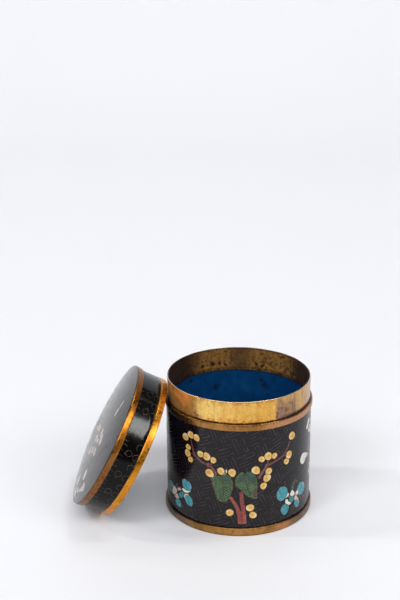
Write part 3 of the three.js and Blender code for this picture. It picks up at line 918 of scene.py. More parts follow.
# lid
inner = lambda r: float(dome_t(np.array([r]))[0]) - 1.2
DR = 41.26
lid_sec = [(0, inner(0), 1)]
for k in (0.12, 0.24, 0.36, 0.48, 0.6, 0.7, 0.8, 0.88):
    lid_sec.append((k * 39.45, inner(k * 39.45), 1))
lid_sec += [(38.05, inner(38.05), 1), (39.0, 16.6, 1), (39.45, 15.66, 1), (39.45, 3.42, 0), (40.3, 3.42, 0), (40.35, 3.5, 0), (40.35, 14.4, 0), (40.22, 14.44, 0),
            (39.95, 14.44, 0), (39.95, 17.8, 0), (40.8, 17.8, 2), (41.04, 17.86, 2), (41.12, 18.02, 2), (41.05, 18.11, 2)]
for r in (40.9, 40.65, 40.4, 39.8, 39.0, 38.0, 36.8, 35.4, 33.8, 32, 30, 28, 26, 24, 22, 20, 18, 16, 14, 12, 10, 8, 6, 4, 2):
    lid_sec.append((r, float(dome_t(np.array([r]))[0]) - 0.06, 2))
lid_sec.append((0, DOME_T + DOME_H - 0.06, 2))


def lid_blue(name):
    m = Nodes(name)
    n1 = m.noise(0.10, 6, 0.65, 0.8); n2 = m.noise(0.9, 5, 0.7)
    col = m.ramp(n1, [(0.3, (0.0, 0.020, 0.084, 1)), (0.7, (0.001, 0.036, 0.13, 1))])
    col = m.mix(m.step(n2, 0.56, 0.75, 0, 0.7), col, (0.004, 0.010, 0.022, 1))
    m.put(m.b.inputs["Base Color"], col)
    m.put(m.b.inputs["Roughness"], m.step(n2, 0.3, 0.8, 0.3, 0.5))
    m.bump([m.math("MULTIPLY", n1, 0.25), m.math("MULTIPLY", n2, 0.04)], 0.6)
    return m.mat


M_LIDBLUE = lid_blue("blue_lid_lining")
dense_lid = []
for i, a in enumerate(lid_sec):
    dense_lid.append(a)
    if i + 1 < len(lid_sec):
        b = lid_sec[i + 1]
        if math.hypot(b[0] - a[0], b[1] - a[1]) > 3 and b[1] != a[1] and a[0] > 39:
            for f in (0.25, 0.5, 0.75):
                dense_lid.append((a[0] + (b[0] - a[0]) * f, a[1] + (b[1] - a[1]) * f, a[2]))
turned_piece("enamelled_lid", dense_lid, [M_BLACK_LID, M_LIDBLUE, M_BLACK_DOME], "lid_body", lid_place)

M_LIDRIM = brass("lid_rim_brass", rgb(226, 152, 50), rgb(196, 126, 38), rgb(150, 92, 34), rgb(108, 70, 42), lid=True, rough=0.29, worn=0.4, pits=0.2, soft=0.2)


def band_highlight_zone(m, v, ang, r, h, col, ro, n1, n2, n3):
    """painted highlight: the brass keeps its bright colour in a zone round 40 degrees, where the key light reflects,
    and is painted browner away from it; ang is measured in the lid's own plane
    """
    d = m.math("ABSOLUTE", m.math("SUBTRACT", ang, 40.0))
    far = m.step(m.math("ADD", d, m.math("MULTIPLY", m.math("SUBTRACT", n2, 0.5), 20.0)), 14, 42)
    dim_colour = m.mix(m.step(n2, 0.4, 0.6), rgb(104, 68, 44), rgb(132, 86, 54))
    return m.mix(m.math("MULTIPLY", far, 0.85), col, dim_colour), ro, None


M_BAND = brass("lid_band_brass", rgb(206, 138, 52), rgb(182, 114, 40), rgb(134, 82, 34), rgb(96, 60, 38), lid=True, rough=0.30, worn=0.5, pits=0.2, extra=band_highlight_zone, soft=0.2)
rim = [(39.45, 0, 0, 0.05), (40.5, 0, 0, 0.08), (40.62, 0.22, 0, 0.1), (40.60, 3.1, 0, 0.2), (40.42, 3.5, 0, 0.1), (40.36, 3.55, 0, 0.0), (39.46, 3.4, 0, 0.05)]
turned_piece("brass_lid_rim", dense(soften(rim, 0.1), 1.0), [M_LIDRIM], "lid_lower_rim", lid_place, wobble=rim_wave(0.015, 4))
band = [(40.25, 14.46, 0, 0.05), (40.75, 14.42, 0, 0.1), (41.0, 14.76, 0, 0.15), (41.21, 17.3, 0, 0.25), (41.12, 17.83, 0, 0.1), (40.25, 17.79, 0, 0.05)]
turned_piece("brass_shoulder_band", dense(soften(band, 0.1), 1.0), [M_BAND], "lid_shoulder_band", lid_place, wobble=rim_wave(0.02, 5))

# ------------------------------------------------------------ wall picture ----
rng = np.random.RandomState(5)

M_BERRY = enamel("golden_enamel", [(0.0, rgb(206, 130, 66)), (0.18, rgb(208, 154, 72)), (0.42, rgb(220, 176, 92)), (0.66, rgb(226, 192, 118)),
                                   (0.88, rgb(232, 208, 160)), (1.0, rgb(238, 218, 192))], 0.24, 0.22, 1.2, 0.45)
M_CORE = enamel("berry_core_enamel", [(0.0, rgb(130, 84, 40)), (0.3, rgb(190, 136, 64)), (1.0, rgb(214, 162, 84))], 0.22, 0.3, 1.5, 0.5)
M_LEAF = enamel("green_enamel", [(0.0, rgb(44, 90, 80)), (0.16, rgb(20, 44, 34)), (0.38, rgb(40, 68, 42)), (0.62, rgb(86, 120, 72)), (0.75, rgb(70, 94, 60)), (0.82, rgb(60, 70, 50)), (1.0, rgb(72, 64, 56))],
                0.22, 0.09, 0.7, 0.3)
M_WINE = enamel("wine_enamel", [(0.0, rgb(92, 34, 44)), (0.45, rgb(118, 60, 70)), (1.0, rgb(160, 104, 112))], 0.22, 0.3, 0.9, 0.4)
M_TRUNK = enamel("red_brown_enamel", [(0.0, rgb(126, 50, 44)), (0.3, rgb(140, 58, 50)), (0.62, rgb(148, 80, 74)), (1.0, rgb(146, 60, 74))], 0.22, 0.25, 0.7, 0.4)
M_PINK = enamel("pink_enamel", [(0.0, rgb(120, 34, 58)), (1.0, rgb(170, 72, 104))], 0.22, 0.3, 1.0, 0.3)
M_TURQ = enamel("turquoise_enamel", [(0.0, rgb(34, 66, 74)), (0.12, rgb(32, 112, 114)), (0.28, rgb(44, 138, 142)), (0.45, rgb(62, 146, 160)), (0.65, rgb(80, 154, 168)), (0.85, rgb(116, 170, 178)), (1.0, rgb(176, 202, 202))],
                0.2, 0.22, 0.8, 0.45)
M_WHITE = enamel("white_enamel", [(0.0, rgb(234, 232, 224)), (0.4, rgb(222, 218, 208)), (0.75, rgb(210, 192, 180)), (1.0, rgb(204, 164, 162))],
                 0.2, 0.2, 0.8, 0.3)
M_OLIVE = enamel("olive_enamel", [(0.0, rgb(26, 62, 40)), (0.15, rgb(50, 74, 46)), (0.5, rgb(74, 94, 54)), (1.0, rgb(120, 160, 84))], 0.22, 0.3, 0.8, 0.4)
M_FRET = wire_metal("fret_wire", (0.165, 0.138, 0.132, 1), (0.032, 0.027, 0.028, 1), 0.38)
M_WIRE = wire_metal("motif_wire", (0.22, 0.13, 0.06, 1), (0.07, 0.042, 0.028, 1), 0.34)
M_VEIN = wire_metal("vein_wire", (0.12, 0.085, 0.055, 1), (0.045, 0.034, 0.026, 1), 0.36)
M_CURL = wire_metal("curl_wire", (0.21, 0.15, 0.085, 1), (0.075, 0.056, 0.045, 1), 0.36)

berries, cores, leaves, wine, trunk, pink, turq, white, olive, wires, veinw = (Build(map_wall) for _ in range(11))
taken = []                                   # outlines that the ground wires stop at


def put(b, poly, edge=0.26, keep=True, **kw):
    cell(b, poly, **kw)
    if edge:
        wire(wires, poly, edge, 0.05, closed=True)
    if keep:
        taken.append(np.array(poly, float))


def berry(s, z, r, shape="round", look=0.0, warm=0.0):
    a0 = rng.uniform(0, 6.28)
    if shape == "round":
        poly = circle((s, z), r, 22, 0.05, int(abs(s * 7 + z * 13)))
    else:
        poly = drop((s, z), r, look, 1.28, 26)
    mid = np.array([s, z]) + rng.uniform(-0.16, 0.16, 2) * r
    k = rng.uniform(0.8, 1.2)

    def tone(W, d):
        v = W - mid
        q = np.hypot(*v.T) / r
        side = np.cos(np.arctan2(v[:, 1], v[:, 0]) - a0)
        t = 0.30 + 0.24 * q ** 1.7 + 0.36 * k * np.clip(side * q * 1.3, 0, 1) + 0.10 * np.sin(W[:, 0] * 4.0 + a0) * np.sin(W[:, 1] * 4.6)
        return np.clip(t - 0.12 * np.exp(-((q - 0.22) / 0.14) ** 2) - warm * (1.1 - q), 0, 1)
    put(berries, poly, 0.28, grid=0.30, tone=tone, top=0.03)
    rc = r * 0.17
    c = circle(mid, rc, 12, 0.08, int(abs(s * 3 + z)))
    cell(cores, c, top=0.04, base=-0.1, grid=0.6, tone=lambda W, d: np.clip(0.5 * k + 0 * d, 0, 1))


def strip(b, line, w0, w1, edge=0.2, top=0.03, tone=None, n=6):
    L = smooth_line(line, n)
    poly = ribbon(L, w0, w1)
    cell(b, poly, top=top, grid=0.7, tone=tone)
    taken.append(poly)
    k = len(L)
    wire(wires, poly[:k], edge, 0.05)
    wire(wires, poly[k:], edge, 0.05)
    return poly


def vein(line, w=0.17):
    wire(wires, smooth_line(line, 6), w, 0.045)


def leaf(b, outline, midrib, veins, tone_dir=(0, -1), n=5, pitch=1.35, drop_deg=38.0, brown=None, fresh=None):
    """a leaf with a midrib and fine side veins; the enamel is shaded in stripes between them"""
    poly = smooth_loop(outline, n)
    rib = smooth_line(midrib, 8)
    seg = np.hypot(*np.diff(rib, axis=0).T)
    run = np.concatenate([[0], np.cumsum(seg)])
    be = math.radians(drop_deg)

    def at(x):
        return np.array([np.interp(x, run, rib[:, 0]), np.interp(x, run, rib[:, 1])])

    def tone(W, dist):
        q = np.linalg.norm(W[:, None] - rib[None], axis=2)
        j = q.argmin(1)
        side = np.sign(W[:, 0] - rib[j, 0])
        d = q.min(1)
        along = run[j] - d * 0.55
        st = np.sin(2 * math.pi * along / pitch + side)
        t = 0.40 + 0.27 * st + 0.05 * np.sin(W[:, 1] * 1.3) - 0.10 * np.exp(-d / 0.8)
        if fresh is not None:
            for c, rr, v in fresh:
                t = t + v * np.exp(-(np.hypot(*(W - np.array(c)).T) / rr) ** 2)
        t = np.clip(t, 0.0, 0.74)
        if brown is not None:
            for c, rr, v in brown:
                t = np.maximum(t, v * np.clip(1.5 * np.exp(-(np.hypot(*((W - np.array(c)) / np.array(rr)).T)) ** 2) + 0.14 * st, 0, 1))
        return np.clip(t, 0, 1)
    put(b, poly, 0.2, tone=tone, grid=0.27)
    wire(veinw, rib, 0.30, 0.045)
    x = pitch * 0.6
    while x < run[-1] - 0.8:
        p0 = at(x); d0 = at(min(x + 0.3, run[-1])) - at(max(x - 0.3, 0)); d0 /= np.hypot(*d0)
        for sgn in (-1, 1):
            c, sn = math.cos(be * sgn), math.sin(be * sgn)
            # start square to the rib, leaning towards the tip, then bend further
            nrm = np.array([-d0[1], d0[0]]) * sgn
            line = [p0]
            ang = math.atan2(nrm[1], nrm[0]); aim_ = math.atan2(d0[1], d0[0])
            turn = (aim_ - ang + math.pi) % (2 * math.pi) - math.pi
            for i in range(60):
                a_ = ang + turn * (0.30 + 0.012 * i)
                nxt = line[-1] + 0.25 * np.array([math.cos(a_), math.sin(a_)])
                if not inside(poly, np.array([nxt + 0.35 * np.array([math.cos(a_), math.sin(a_)])]))[0]:
                    break
                line.append(nxt)
            if len(line) > 4:
                wire(veinw, np.array(line[::2] if len(line) > 6 else line), 0.19, 0.036)
        x += pitch


# the berry sprays
for s, z, r in ((-31.3, 52.7, 2.3), (-27.4, 55.1, 2.2), (-23.6, 54.5, 2.1), (-29.3, 47.3, 1.8), (-29.7, 43.6, 2.2), (-27.7, 40.5, 1.8),
                (-21.0, 45.6, 2.0), (-17.3, 45.1, 2.3), (-13.4, 43.7, 1.8), (12.6, 44.7, 1.8), (16.3, 45.8, 2.3), (20.0, 45.3, 1.7),
                (16.7, 36.9, 2.0), (15.8, 33.2, 2.3), (13.8, 28.8, 2.0), (29.7, 43.3, 2.3), (28.0, 39.9, 1.9), (31.7, 53.8, 2.4),
                (-4.4, 13.7, 2.1), (6.5, 16.6, 2.2), (8.1, 12.1, 2.1), (-9.2, 37.9, 2.1)):
    berry(s, z, r)
berry(-3.2, 37.7, 2.1, "drop", -80)
berry(9.3, 38.7, 2.3, "drop", -50)
berry(-15.7, 35.8, 2.35, "drop", -40, warm=0.25)

t_side = lambda W, d: np.clip(0.3 + d * 0.6, 0, 1)
strip(wine, [(-11.6, 35.4), (-13.4, 38.2), (-15.6, 40.2), (-19.5, 40.9), (-22.2, 42.3), (-24.6, 44.2)], 1.15, 0.95, tone=t_side)
strip(wine, [(-24.9, 44.4), (-26.0, 47.0), (-26.6, 49.6), (-27.4, 52.4)], 0.95, 0.75, tone=t_side)
strip(wine, [(-15.2, 40.6), (-14.4, 41.4), (-13.6, 42.0)], 0.8, 0.6, tone=t_side)
strip(wine, [(10.9, 33.6), (13.0, 36.9), (15.4, 40.2)], 1.25, 1.05, tone=t_side)
strip(wine, [(15.6, 40.5), (18.6, 41.3), (21.8, 42.4), (25.4, 44.0), (28.2, 47.2), (30.2, 51.0)], 1.05, 0.75, tone=t_side)
strip(wine, [(15.7, 41.2), (16.2, 42.4), (16.4, 43.4)], 0.8, 0.6, tone=t_side)
strip(wine, [(25.9, 44.0), (27.4, 43.8), (28.2, 43.6)], 0.7, 0.5, tone=t_side)
put(pink, smooth_loop([(-17.6, 40.9), (-16.2, 41.6), (-14.9, 40.6), (-15.4, 39.3), (-17.2, 39.6)], 4), 0.2, grid=0.5)
put(pink, smooth_loop([(-26.0, 45.4), (-24.8, 45.4), (-24.2, 44.2), (-25.0, 43.2), (-26.0, 43.9)], 4), 0.2, grid=0.5)
put(pink, smooth_loop([(14.6, 41.0), (15.6, 41.5), (16.6, 40.9), (16.0, 39.8), (14.9, 39.9)], 4), 0.2, grid=0.5)

# two heart-shaped leaves
leaf(leaves, [(-14.8, 33.3), (-14.1, 29.4), (-12.9, 26.2), (-11.7, 22.4), (-10.2, 20.2), (-7.2, 19.7), (-5.2, 21.4), (-3.6, 25.2), (-2.8, 29.0), (-3.0, 32.5), (-4.5, 35.4),
              (-6.5, 36.2), (-8.8, 35.2), (-10.4, 34.9), (-12.6, 35.0)],
     [(-8.9, 35.0), (-8.2, 31.0), (-7.8, 26.0), (-8.2, 20.4)], [],
     brown=[((-14.2, 30.0), (1.1, 5.0), 1.0), ((-12.2, 22.8), (1.5, 2.6), 0.95), ((-2.7, 30.0), (0.6, 5.0), 0.9), ((-8.9, 31.4), (0.5, 2.4), 0.85)],
     fresh=[((-7.0, 34.4), 1.6, -0.9), ((-10.6, 28.6), 2.6, 0.18), ((-6.0, 30.0), 2.2, -0.06), ((-7.2, 23.0), 2.0, 0.1)])
leaf(leaves, [(-1.3, 30.2), (-1.5, 33.0), (-0.4, 35.9), (1.5, 37.8), (3.2, 37.4), (3.9, 36.7), (4.7, 38.2), (6.4, 38.1), (8.6, 36.4), (10.0, 33.4), (10.3, 29.8), (10.1, 25.2),
              (10.3, 21.9), (7.6, 22.2), (5.2, 23.4), (3.9, 24.8), (2.5, 26.6), (0.5, 28.3)],
     [(3.7, 36.9), (4.2, 32.5), (5.8, 27.4), (9.3, 22.6)], [],
     brown=[((9.4, 25.0), (2.2, 3.6), 1.0), ((4.3, 32.0), (0.7, 4.2), 0.9), ((0.6, 37.0), (2.0, 0.9), 0.85), ((7.2, 28.4), (1.4, 2.6), 0.7)],
     fresh=[((6.8, 36.2), 2.6, -0.75), ((1.9, 34.4), 1.4, -0.7), ((2.3, 30.4), 1.7, 0.22), ((4.6, 24.8), 1.6, 0.08)])
put(olive, smooth_loop([(-7.6, 37.2), (-6.6, 37.0), (-6.2, 36.2), (-7.0, 35.4), (-7.9, 35.8)], 4), 0.14, grid=0.4, tone=lambda W, d: 1.0 + 0 * d)
put(white, smooth_loop([(-6.7, 38.9), (-6.1, 39.1), (-5.8, 37.9), (-6.1, 37.1), (-6.6, 37.5)], 4), 0.12, grid=0.4, tone=lambda W, d: 0.8 + 0 * d)

# the two stems that grow together
stem_l = ribbon(smooth_line([(-4.3, 23.2), (-2.6, 20.6), (-1.2, 18.2), (-0.1, 15.6), (0.6, 12.6), (1.1, 9.6), (1.3, 7.0)], 6), 1.7, 2.6)
stem_r = ribbon(smooth_line([(1.8, 26.0), (1.9, 22.5), (2.3, 19.0), (2.8, 15.0), (3.1, 11.5), (3.3, 7.0)], 6), 1.75, 2.7)
def stem_tone(line, lo, w):
    """darker red at both sides, greyer along the middle"""
    def tone(W, d):
        q = np.linalg.norm(W[:, None] - line[None], axis=2).min(1)
        return np.clip(lo + 0.55 * np.exp(-(q / w) ** 2) * np.clip((W[:, 1] - 12) / 5, 0, 1) + 0.08 * np.sin(W[:, 1] * 2.3) + 0.5 * np.clip((11.5 - W[:, 1]) / 5, 0, 1), 0, 1)
    return tone


mid_l = smooth_line([(-4.4, 23.2), (-2.6, 20.6), (-1.2, 18.2), (-0.1, 15.6), (0.6, 12.6), (1.1, 9.6), (1.3, 7.0)], 6)
put(trunk, stem_l, 0.2, grid=0.45, top=0.022, tone=stem_tone(mid_l, 0.08, 0.5))
put(trunk, stem_r, 0.2, grid=0.45, top=0.032, tone=lambda W, d: np.clip(0.10 + (15 - W[:, 1]) * 0.06 + (W[:, 0] - 2.8) * 0.22 + 0.10 * np.sin(W[:, 1] * 1.9), 0, 1))
wire(wires, smooth_line([(2.2, 15.5), (2.1, 12.0), (2.3, 9.0), (2.3, 6.9)], 5), 0.2, 0.05)


# turquoise flowers
def petal(fc, pc, r, notch=False, lean=0.0, base_w=1.5, wide=0.86, long=1.12, white_len=0.5, pinkish=0.0):
    fc, pc = np.array(fc, float), np.array(pc, float)
    d = pc - fc; L = np.hypot(*d); d /= L; n = np.array([-d[1], d[0]])
    a = np.linspace(0, 2 * math.pi, 30, endpoint=False)
    rr = 1 + (0.0 if not notch else -0.16) * np.exp(-((np.mod(a + math.pi, 2 * math.pi) - math.pi) / 0.33) ** 2)
    rr = rr * (1 + 0.03 * np.sin(3 * a + r * 5) - 0.10 * np.exp(-((a - math.pi) / 0.6) ** 2) * 0)
    x = r * long * np.cos(a) * rr
    y = r * wide * np.sin(a) * rr * (1 + 0.18 * np.cos(a)) * (1 + lean * np.sin(a))
    poly = pc + x[:, None] * d + y[:, None] * n
    # pale inner part, between the eye of the flower and the lobe
    e = pc - d * r * long * (1 - white_len)
    s0 = fc + d * 1.25
    inner = smooth_loop([s0 - n * 0.35, s0 + n * 0.35, (s0 + e) / 2 + n * base_w * 0.42, e + n * base_w * 0.62, e + d * 0.5, e - n * base_w * 0.62, (s0 + e) / 2 - n * base_w * 0.42], 4)
    cell(white, inner, top=0.022, grid=0.6, tone=lambda W, dd: np.clip(0.2 + pinkish + 0.25 * np.sin(W[:, 0] * 2), 0, 1))
    wire(wires, inner, 0.18, 0.045, closed=True)
    taken.append(inner)
    put(turq, poly, 0.22, grid=0.75, top=0.032,
        tone=lambda W, dd: np.clip(0.30 + 0.28 * np.exp(-np.hypot(*(W - e).T) / 1.6) + 0.12 * np.sin(W @ n * 1.8 + 1), 0, 1))


def eye(c, r):
    put(turq, np.array([(c[0], c[1] + r * 1.15), (c[0] - r * 0.85, c[1]), (c[0], c[1] - r * 1.15), (c[0] + r * 0.85, c[1])]), 0.2, grid=0.6, top=0.04,
        tone=lambda W, d: 0.12 + 0 * d)


def patch(b, pts, tone=0.3, edge=0.15, top=0.03, grid=0.5, n=5, spots=(), wave=0.05):
    """one cell drawn through given points; spots are (centre, radius, change of tone)"""
    def fn(W, d):
        t = tone + wave * np.sin(W[:, 0] * 2.3 + W[:, 1] * 1.1)
        for c, r, v in spots:
            t = t + v * np.exp(-(np.hypot(*(W - np.array(c)).T) / r) ** 2)
        return np.clip(t, 0, 1)
    put(b, smooth_loop(pts, n), edge, grid=grid, top=top, tone=fn)


# left flower
patch(white, [(-34.8, 20.2), (-33.4, 21.1), (-31.4, 21.2), (-29.8, 21.4), (-28.3, 22.6), (-27.8, 21.7), (-29.2, 20.1), (-31.3, 19.2), (-33.3, 19.2)], 0.06, top=0.026)
patch(turq, [(-33.4, 21.3), (-34.2, 23.0), (-34.3, 25.3), (-33.2, 26.9), (-31.3, 27.2), (-30.3, 26.2), (-29.8, 26.8), (-28.4, 26.5), (-27.2, 24.8), (-27.4, 22.8), (-28.7, 21.3), (-30.8, 20.7)],
      0.50, spots=[((-31.0, 23.9), 1.6, -0.24), ((-34.0, 25.4), 0.9, 0.45), ((-27.3, 23.8), 0.9, 0.42), ((-30.6, 21.0), 0.9, -0.1), ((-32.0, 26.9), 0.8, 0.3)])
patch(white, [(-32.6, 17.9), (-30.6, 18.9), (-29.0, 18.7), (-30.2, 17.6), (-31.4, 16.4), (-32.7, 15.6), (-33.0, 16.8)], 0.55, top=0.026)
patch(turq, [(-31.7, 17.3), (-32.3, 15.2), (-31.5, 13.7), (-30.2, 12.5), (-28.0, 12.2), (-26.7, 13.0), (-26.4, 15.2), (-27.2, 17.3), (-28.6, 18.2), (-30.2, 18.1)],
      0.44, spots=[((-28.6, 15.4), 1.4, -0.12), ((-26.6, 15.6), 0.8, 0.4), ((-32.0, 15.8), 0.9, 0.4), ((-29.4, 14.2), 1.0, -0.12)])
patch(turq, [(-38.8, 14.5), (-37.4, 16.6), (-35.4, 18.3), (-33.0, 18.9), (-32.5, 18.0), (-33.3, 16.3), (-35.0, 14.7), (-37.0, 14.0)], 0.20, top=0.034,
      spots=[((-35.6, 15.4), 0.8, 0.2)])
patch(white, [(-42.2, 12.6), (-40.2, 15.2), (-38.6, 14.8), (-37.5, 13.8), (-38.4, 12.6), (-40.4, 12.0)], 0.85, top=0.026)
patch(turq, [(-41.2, 10.6), (-39.8, 12.0), (-37.4, 12.4), (-35.9, 11.2), (-35.8, 9.0), (-37.2, 8.0), (-39.6, 8.0), (-41.2, 9.2)], 0.32, spots=[((-36.6, 9.6), 1.0, 0.35)])
patch(white, [(-45.4, 13.2), (-44.8, 16.0), (-42.8, 18.6), (-40.8, 18.2), (-39.4, 17.2), (-40.4, 15.2), (-42.8, 13.2)], 0.62, top=0.026)
patch(turq, [(-51.4, 15.6), (-49.0, 19.0), (-45.4, 20.0), (-43.2, 18.9), (-45.0, 16.0), (-45.9, 13.0), (-49.8, 12.6)], 0.10, spots=[((-45.0, 18.0), 1.4, 0.2)])
patch(white, [(-38.8, 19.3), (-36.6, 20.0), (-35.1, 19.3), (-36.4, 18.6), (-38.0, 17.6), (-39.0, 18.0)], 0.9, top=0.026)
patch(olive, [(-41.0, 19.7), (-39.8, 21.9), (-38.7, 21.4), (-39.4, 19.3)], 0.05, 0.12)
patch(pink, [(-37.2, 20.6), (-36.0, 21.4), (-34.6, 20.6), (-35.8, 20.2)], 0.0, 0.12)
patch(olive, [(-36.2, 8.9), (-34.4, 10.6), (-33.6, 10.2), (-35.2, 8.4)], 0.0, 0.12)
# right flower
patch(turq, [(21.8, 21.0), (22.2, 23.4), (23.9, 25.3), (26.0, 25.5), (27.9, 24.5), (29.1, 22.6), (29.3, 20.6), (28.3, 18.5), (26.3, 17.2), (24.2, 17.3), (22.6, 18.6)],
      0.40, spots=[((25.2, 22.6), 1.9, -0.10), ((24.4, 19.6), 1.4, -0.02), ((22.4, 20.4), 0.8, 0.3), ((27.0, 23.8), 1.0, 0.12), ((25.6, 17.6), 0.9, 0.25)])
patch(white, [(29.0, 20.9), (30.4, 19.6), (30.2, 18.7), (28.8, 18.0), (27.6, 17.8), (28.8, 19.2)], 0.35, top=0.026)
patch(white, [(28.1, 17.0), (29.5, 16.6), (30.1, 15.2), (31.3, 14.2), (32.5, 13.3), (30.6, 12.7), (29.0, 13.5), (28.0, 14.6), (27.7, 15.8)], 0.12, top=0.026)
patch(turq, [(24.6, 11.6), (25.4, 13.5), (27.1, 14.3), (29.0, 13.9), (30.4, 12.5), (30.3, 10.4), (29.2, 8.5), (27.4, 7.9), (25.6, 9.1)], 0.34,
      spots=[((26.0, 11.8), 0.9, 0.22), ((28.4, 10.6), 1.2, -0.06), ((27.6, 8.2), 0.8, 0.3)])
patch(turq, [(30.5, 16.2), (31.6, 17.5), (33.4, 16.9), (34.8, 15.4), (34.5, 14.1), (32.6, 13.8), (31.1, 14.8)], 0.20, top=0.034, spots=[((32.6, 15.4), 0.8, 0.14)])
patch(wine, [(29.8, 18.5), (30.9, 18.4), (31.4, 17.5), (30.3, 17.1)], 0.6, 0.12)
patch(turq, [(34.8, 12.3), (35.6, 13.5), (37.6, 13.7), (39.5, 12.0), (39.7, 10.4), (38.6, 8.9), (36.8, 8.8), (35.5, 10.3)], 0.34, spots=[((38.8, 11.4), 1.0, 0.4), ((36.4, 11.6), 0.8, -0.1)])
patch(white, [(34.9, 15.8), (36.2, 17.0), (37.3, 15.5), (38.8, 13.4), (39.5, 11.8), (38.0, 12.8), (36.4, 13.4), (35.4, 13.8)], 0.80, top=0.036)
patch(turq, [(36.8, 18.3), (37.8, 21.0), (39.8, 22.5), (42.2, 22.3), (44.5, 20.7), (46.0, 18.4), (45.4, 16.1), (43.0, 14.7), (40.4, 14.9), (38.1, 16.4)], 0.46,
      spots=[((41.0, 18.6), 1.8, -0.12), ((44.4, 19.8), 1.0, 0.3), ((38.4, 19.6), 0.9, 0.25)])
patch(white, [(35.7, 17.6), (36.5, 19.0), (38.1, 18.7), (38.5, 17.1), (37.4, 16.2), (36.3, 16.6)], 0.3, top=0.036)
patch(white, [(31.1, 18.9), (31.9, 20.3), (33.1, 21.0), (34.3, 19.7), (35.2, 17.9), (33.6, 17.0), (32.3, 17.5)], 0.40, top=0.034, spots=[((33.4, 19.0), 0.7, -0.2)])
patch(olive, [(31.3, 21.3), (32.2, 23.2), (33.0, 25.8), (34.7, 26.8), (35.1, 25.4), (34.5, 23.4), (33.7, 21.4), (32.6, 21.2)], 0.10, 0.14)
patch(olive, [(38.4, 15.6), (39.9, 14.5), (41.9, 12.3), (41.0, 12.2), (39.2, 13.7)], 0.0, 0.12)
patch(pink, [(42.9, 12.9), (44.6, 12.8), (46.0, 11.3), (44.4, 11.4)], 0.0, 0.12)
patch(wine, [(35.4, 26.0), (36.4, 25.8), (37.4, 24.4), (36.4, 24.4)], 0.0, 0.12)
patch(olive, [(43.6, 6.9), (45.6, 5.9), (46.0, 5.3), (44.0, 5.6)], 0.2, 0.12)

# right-hand side and round the back: a white prunus branch
patch(white, [(39.7, 35.5), (40.3, 37.7), (41.8, 39.1), (43.9, 39.0), (46.3, 38.2), (49.2, 36.6), (51.2, 35.8), (49.6, 34.8), (46.6, 34.5), (45.0, 33.2), (43.0, 32.5), (40.9, 33.7)], 0.12,
      spots=[((48.6, 35.9), 2.2, 0.5), ((43.4, 35.4), 0.6, 0.3)], edge=0.18)
patch(white, [(46.4, 52.5), (47.6, 54.4), (50.6, 56.8), (52.8, 55.4), (51.1, 53.6), (49.5, 51.7), (47.6, 51.2)], 0.12, edge=0.18, spots=[((49.4, 53.8), 0.7, 0.5)])
patch(white, [(49.8, 50.0), (51.6, 51.7), (54.6, 51.6), (57.2, 49.6), (56.0, 46.6), (53.4, 47.2), (51.0, 48.4)], 0.18, edge=0.18)


def blossom(b, c, r, turn=0.0, n=5, mapping_wires=None, eye_mat=None, tone0=0.2, keep=None):
    W_ = mapping_wires or wires
    K = taken if keep is None else keep
    for i in range(n):
        a = turn + i * 2 * math.pi / n
        d = np.array([math.cos(a), math.sin(a)]); nn = np.array([-d[1], d[0]])
        pc = np.array(c) + d * r * 0.62
        t = np.linspace(0, 2 * math.pi, 22, endpoint=False)
        x = r * 0.42 * np.cos(t); y = r * 0.37 * np.sin(t) * (1 + 0.25 * np.cos(t))
        notch = 1 - 0.12 * np.exp(-((np.mod(t + math.pi, 2 * math.pi) - math.pi) / 0.35) ** 2)
        poly = pc + (x * notch)[:, None] * d + y[:, None] * nn
        cell(b, poly, top=0.03, grid=0.8, tone=lambda W, dd, c=c, r=r: np.clip(tone0 + 0.5 * np.exp(-np.hypot(*(W - np.array(c)).T) / (r * 0.35)), 0, 1))
        wire(W_, poly, 0.22, 0.05, closed=True)
        K.append(poly)
    core = circle(c, r * 0.22, 14, 0.04, 3)
    cell(eye_mat, core, top=0.04, grid=0.6)
    wire(W_, core, 0.2, 0.06, closed=True)
    K.append(core)


strip(trunk, [(84, 4.9), (82, 12), (78, 18), (76.5, 25), (72, 31), (70.5, 38), (66, 43), (64, 49), (60.5, 54)], 3.2, 1.0, tone=lambda W, d: 0.3 + 0 * d)
strip(trunk, [(76.8, 24), (83, 29), (86, 35), (91.5, 39), (94, 46), (93, 53)], 1.8, 0.8, tone=lambda W, d: 0.3 + 0 * d)
strip(trunk, [(71, 36), (76, 41), (78, 48), (81, 53)], 1.3, 0.6, tone=lambda W, d: 0.3 + 0 * d)
strip(trunk, [(78.5, 17), (72, 19.5), (66, 19), (60.5, 22)], 1.5, 0.7, tone=lambda W, d: 0.3 + 0 * d)
for c, r, a in (((56.9, 50.5), 4.6, 0.5), ((61.5, 38.0), 4.4, 1.3), ((70.5, 51.0), 4.2, 0.2), ((79.0, 56.0), 3.6, 1.0), ((92.5, 56.0), 3.6, 0.4),
                ((88.0, 43.5), 4.2, 0.9), ((98.6, 38.5), 4.0, 0.1), ((56.5, 24.0), 4.2, 0.7), ((67.0, 25.0), 3.4, 0.3), ((90.0, 26.0), 4.0, 1.1)):
    blossom(white, c, r, a, eye_mat=cores)
for s, z, look in ((64.5, 55.5, 100), (83.5, 50.5, 50), (100, 45.5, 60), (66.5, 31.5, 170), (50.8, 19.5, 190), (74.5, 12.5, 200), (96.5, 30.5, 10)):
    put(pink, drop((s, z), 1.3, look, 1.5, 18), 0.2, grid=0.6)
